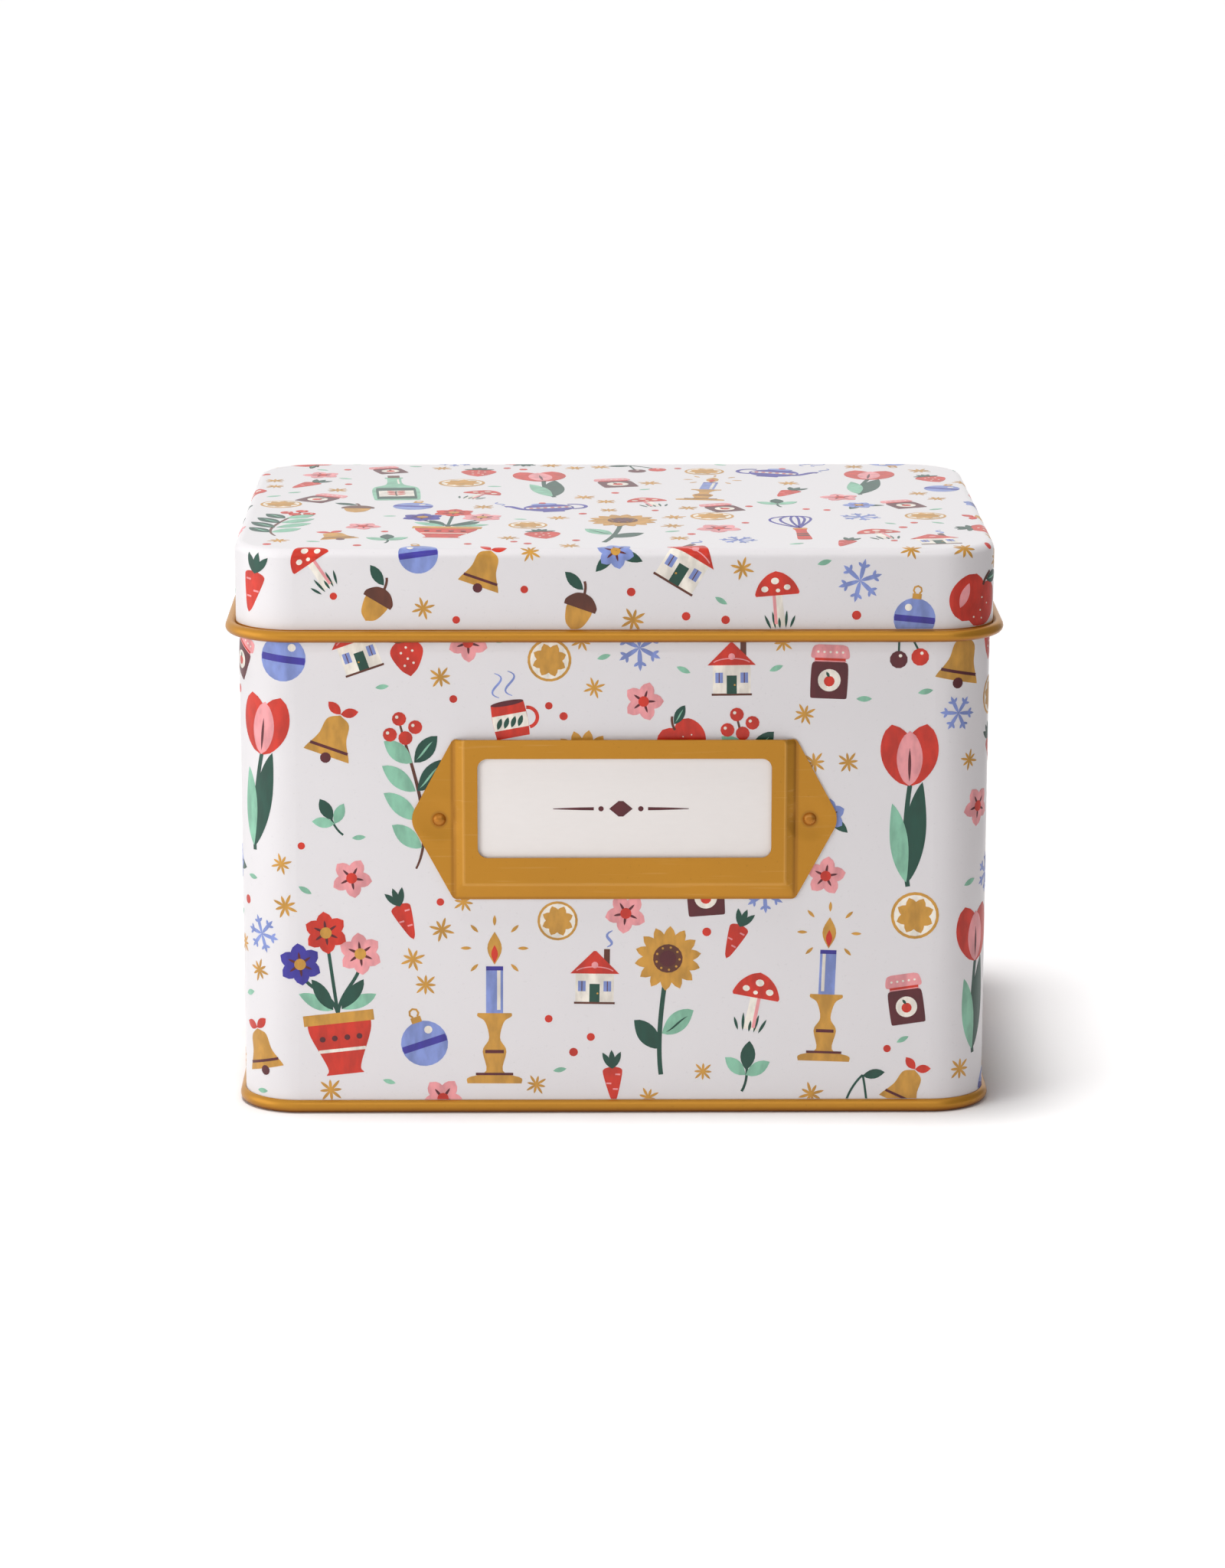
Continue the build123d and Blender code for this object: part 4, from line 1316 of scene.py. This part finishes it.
# %% Inks
INKS = {
    "red": linear(206, 48, 28),
    "green": linear(14, 68, 54),
    "mint": linear(138, 196, 168),
    "violet": linear(58, 50, 152),
    "periwinkle": linear(132, 150, 212),
    "pink": linear(238, 158, 162),
    "ochre": linear(204, 150, 60),
    "burgundy": linear(84, 18, 28),
    "brown": linear(90, 42, 24),
    "cream": linear(246, 240, 228),
}
BRUSH_MARKS = 420.0  # to the metre
BRUSH_STRETCH = (1.0, 1.0, 0.4)  # longer upwards
INK_TONES = (0.80, 1.14)  # from thin to thick paint


def ink_material(ink):
    """The material of one ink, made at its first use."""
    name = f"{ink} ink"
    if name in bpy.data.materials:
        return bpy.data.materials[name]
    finish = Finish(name, 0.4)
    place = finish.coords()
    coat = use_group(COAT, place, Color=INKS[ink], Drift=0.2, Speck=0.06, Roughness=0.36)
    brush = step(noise(place, BRUSH_MARKS, 5.0, BRUSH_STRETCH), 0.30, 0.70)
    colour = scaled(coat["Color"], mixed(brush, *INK_TONES))
    finish.shade({"Base Color": colour, "Roughness": coat["Roughness"]})
    finish.bump(coat["Height"], SKIN_DEPTH, 0.3)
    return finish.material


print(len(INKS), "inks")

# %% [markdown]
# One ink of one body becomes one mesh. Each strip is refined to a fine enough grid for the
# bend it lies on and given a top just over the metal and a bottom just under it, closed by
# its four sides. While it is still flat it is cut at the edges of its sheet, then it is
# wrapped round the tin. Layers differ by two hundredths of a millimetre, which no eye sees
# but the renderer keeps apart.

# %% Making the ink
FILM_BASE = -0.03  # millimetres: the film's hidden underside lies inside the sheet
FILM_FIRST = 0.03
FILM_LAYER = 0.02
FILM_STAGGER = 0.0005  # keeps overlapping patches of one layer apart
STAGGERS = 12
SAME_POINT = 0.002


def refined(grid, across, along_step):
    """The same strip on a finer grid: its edges and rows are joined by straight steps."""
    length = np.linalg.norm(np.diff(grid.mean(axis=1), axis=0), axis=1).sum()
    width = np.linalg.norm(grid[:, 1] - grid[:, 0], axis=1).max()
    rows, keys = max(len(grid), int(length / along_step) + 2), np.arange(len(grid))
    place = np.linspace(0, len(grid) - 1, rows)
    left, right = (between(place, keys, grid[:, edge])[:, None] for edge in (0, 1))
    share = np.linspace(0, 1, max(2, int(width / across) + 2))[None, :, None]
    return left * (1 - share) + right * share


def cross_z(first, second):
    """The upright part of the cross product of flat vectors."""
    return first[..., 0] * second[..., 1] - first[..., 1] * second[..., 0]


def film(grid, height):
    """One closed skin, still flat: top and bottom grids and their sides, as points and quads."""
    rows, columns = grid.shape[:2]
    flat = grid.reshape(-1, 2)
    count = len(flat)
    top, bottom = (np.column_stack([flat, np.full(count, level)]) for level in (height, FILM_BASE))
    index = np.arange(count).reshape(rows, columns)
    quads = np.stack([index[:-1, :-1], index[:-1, 1:], index[1:, 1:], index[1:, :-1]], axis=-1).reshape(-1, 4)
    corner = flat[quads]
    if cross_z(corner[:, 2] - corner[:, 0], corner[:, 3] - corner[:, 1]).sum() < 0:
        quads = quads[:, ::-1]
        index = index[:, ::-1]
    rim = np.concatenate([index[0], index[1:, -1], index[-1, -2::-1], index[-2:0:-1, 0]])
    following = np.roll(rim, -1)
    sides = np.stack([rim, rim + count, following + count, following], axis=-1)
    return np.concatenate([top, bottom]), np.concatenate([quads, quads[:, ::-1] + count, sides])


def inked(name, body, marks, wrap, steps, limits=()):
    """One thin mesh of each ink for these marks, cut to the sheet's limits, riding on this body."""
    sheets = {}
    for number, (ink, layer, grid) in enumerate(marks):
        if limits and (grid[..., 1].max() < limits[0] or grid[..., 1].min() > limits[1]):
            continue
        height = FILM_FIRST + FILM_LAYER * layer + FILM_STAGGER * (number % STAGGERS)
        sheets.setdefault(ink, []).append(film(refined(grid, *steps(grid)), height))
    for ink, skins in sheets.items():
        starts = np.cumsum([0] + [len(points) for points, _ in skins[:-1]])
        points = np.concatenate([points for points, _ in skins])
        quads = np.concatenate([quads + start for start, (_, quads) in zip(starts, skins)])
        make_ink(f"{name}_{ink}", body, ink, points, quads, wrap, limits)


def cut_off(work, level, side):
    """Cuts away what lies past this height of the flat sheet and closes the cut faces."""
    plane = {"plane_co": (0, level, 0), "plane_no": (0, side, 0), "clear_outer": True}
    cut = bmesh.ops.bisect_plane(work, geom=work.verts[:] + work.edges[:] + work.faces[:], **plane)
    edges = [item for item in cut["geom_cut"] if isinstance(item, bmesh.types.BMEdge)]
    for face in bmesh.ops.edgeloop_fill(work, edges=edges)["faces"]:
        face.normal_update()
        if face.normal.y * side < 0:
            face.normal_flip()


def make_ink(name, body, ink, points, quads, wrap, limits):
    """One mesh of ink: joins points that meet in the strips' tips, cuts it flat and wraps it round."""
    mesh = bpy.data.meshes.new(name)
    mesh.from_pydata(points.tolist(), [], quads.tolist())
    work = bmesh.new()
    work.from_mesh(mesh)
    bmesh.ops.dissolve_degenerate(work, dist=SAME_POINT, edges=work.edges)
    for level, side in zip(limits, (-1, 1)):
        cut_off(work, level, side)
    bmesh.ops.triangulate(work, faces=work.faces)
    work.to_mesh(mesh)
    work.free()
    flat = np.empty(3 * len(mesh.vertices))
    mesh.vertices.foreach_get("co", flat)
    flat = flat.reshape(-1, 3)
    mesh.vertices.foreach_set("co", (wrap(flat[:, :2], flat[:, 2]) * MM).ravel())
    mesh.update()
    mesh.materials.append(ink_material(ink))
    piece = linked(name, mesh)
    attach(piece, body)
    print(name, len(mesh.polygons), "triangles")


# %% [markdown]
# The body's print covers the whole strip of the wall, from the rolled seam up to the lid. Only
# the upright seam at the back stays unprinted, because the sheet's two ends are joined there.
# Strips near a corner need a fine grid, those on the flat sides don't.

# %% Print on the body
SEAM_MARGIN = 4.0  # unprinted, each side of the upright seam
FINE, COARSE = 0.9, 6.0  # millimetres between the columns of a strip
WALL_LENGTH = WALL_LINE[0][-1]
WALL_PRINT = (SEAM_TOP, SHOULDER_LEVEL)
WALL_ROWS = [(26, 36.3), (75, 36.3)]  # heights and spacings of the tall motifs
SMALL_GAP = 1.7  # between small motifs
WALL_SEED = 7
STRAIGHT = 0.01  # how far the normals of a flat side may lie off its axis


def near_corner(grid, line):
    """Whether a strip reaches a rounded corner: its normals differ or don't lie along an axis."""
    normal = along(line, grid[..., 0])[1].reshape(-1, 2)
    return bool(np.ptp(normal, axis=0).max() > STRAIGHT or np.abs(normal).min(axis=-1).max() > STRAIGHT)


def wall_steps(grid, line=WALL_LINE):
    """Column and row steps for a strip on an upright wall."""
    return (FINE, ROW_STEP) if near_corner(grid, line) else (COARSE, ROW_STEP)


def at_seam(x, y, half_width, half_height):
    """Whether a motif would cross the unprinted strip at the seam."""
    return abs(np.mod(x, WALL_LENGTH) - WALL_LENGTH / 2) < half_width + SEAM_MARGIN


wall_sheet = (0, WALL_LENGTH, *WALL_PRINT)
wall_marks, _ = filled_sheet(
    WALL_SEED, *wall_sheet, WALL_ROWS, WALL_LENGTH, SMALL_GAP, at_seam, NOTHING_YET
)
inked("print_wall", "tin", wall_marks, on_wall, wall_steps, WALL_PRINT)

# %% [markdown]
# The lid is drawn from one printed sheet, so a motif may run from the skirt over the rounded
# edge onto the top. The skirt's motifs are placed first. Their circles, carried over to the
# top's own flat coordinates, keep the top's motifs from printing over them.

# %% Print on the lid
SKIRT_LENGTH = EDGE_LINE[0][-1]
CURL_CLEARANCE = 0.15  # the print stops this little above the curl
SKIRT_FOOT = CURL_LEVEL + CURL_RADIUS + CURL_CLEARANCE
SKIRT_MIDDLES = (SKIRT_FOOT + 2, SKIRT_TOP - 1)  # heights of its motifs' middles
SKIRT_GAP = 3.0
SKIRT_SEED, TOP_SEED = 23, 31
TOP_ROWS = [(-29, 38.0), (27, 38.0)]
TOP_OVERHANG = 1.2
OVER_EDGE = (0.4, 0.35)  # steps over the rounded edge
EDGE_MARGIN = 1.0  # millimetres inside that edge, where the steps are as fine
NO_PERIOD = 10000.0  # the top's sheet doesn't join up


def skirt_steps(grid):
    """Finest where a strip of the skirt bends over the edge, else as on the wall."""
    if grid[..., 1].max() > LID_TOP - EDGE_RADIUS - ROW_STEP:
        return OVER_EDGE
    return wall_steps(grid, EDGE_LINE)


def past_edge(x, y, half_width, half_height):
    """Whether a motif would hang more than a little over the rounded edge of the top."""
    beyond = math.hypot(max(abs(x) + half_width - CORNER_X, 0), max(abs(y) + half_height - CORNER_Y, 0))
    return beyond > CORNER_RADIUS - EDGE_RADIUS + TOP_OVERHANG


def top_steps(grid):
    """Fine where a strip of the top comes near its edge, coarse inside."""
    inner = (HALF_WIDTH - EDGE_RADIUS - EDGE_MARGIN, HALF_DEPTH - EDGE_RADIUS - EDGE_MARGIN)
    return (COARSE, ROW_STEP) if (np.abs(grid).max(axis=(0, 1)) < inner).all() else OVER_EDGE


def seen_from_top(circles):
    """The skirt's circles in the top's coordinates: out from the outline by what is left of the skirt."""
    point, normal = along(EDGE_LINE, circles[:, 0])
    return np.column_stack([point + normal * (SKIRT_TOP - circles[:, 1:2]), circles[:, 2]])


skirt_sheet = (0, SKIRT_LENGTH, *SKIRT_MIDDLES)
skirt_marks, skirt_taken = filled_sheet(
    SKIRT_SEED, *skirt_sheet, [], SKIRT_LENGTH, SKIRT_GAP, lambda *place: False, NOTHING_YET
)
inked("print_skirt", "lid", skirt_marks, on_skirt, skirt_steps, (SKIRT_FOOT, SKIRT_TOP + CORNER_RADIUS))
top_sheet = (-HALF_WIDTH, HALF_WIDTH, -HALF_DEPTH, HALF_DEPTH)
top_marks, _ = filled_sheet(
    TOP_SEED, *top_sheet, TOP_ROWS, NO_PERIOD, SMALL_GAP, past_edge, seen_from_top(skirt_taken)
)
inked("print_top", "lid", top_marks, on_top, top_steps)

# %% [markdown]
# The label card is bare but for a small printed ornament: two rules and a diamond between
# them. It is the same thin ink, laid on the card's front face, and it slides with the card.

# %% Ornament on the label card
ORNAMENT_LEVEL = 70.0
ORNAMENT_SHIFT = -0.8  # from the card's middle
label_low, label_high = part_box("label_card")
ornament_x = (label_low.x + label_high.x) / 2 / MM + ORNAMENT_SHIFT


def on_label(flat, thickness):
    """A place on the label card's front face."""
    across, height = flat[..., :1], flat[..., 1:]
    return np.concatenate([across, label_low.y / MM - thickness[..., None], height], axis=-1)


def ornament(x, y):
    """A diamond in the middle, with a dot and a tapering rule on each side of it."""
    marks = [("burgundy", 0, strip(x + np.array([-2.6, 0, 2.6]), np.full(3, y), np.array([0, 2.2, 0])))]
    for side in (-1, 1):
        marks += dots("burgundy", 0, 0.6, (x + side * 4.4, y))
        rule = x + side * np.array([6.0, 9.0, 12.0, 15.0])
        marks.append(("burgundy", 0, strip(rule, np.full(4, y), np.array([0.35, 0.3, 0.2, 0.08]))))
    return marks


ornament_marks = ornament(ornament_x, ORNAMENT_LEVEL)
inked("print_label", "label_card", ornament_marks, on_label, lambda grid: (COARSE, ROW_STEP))
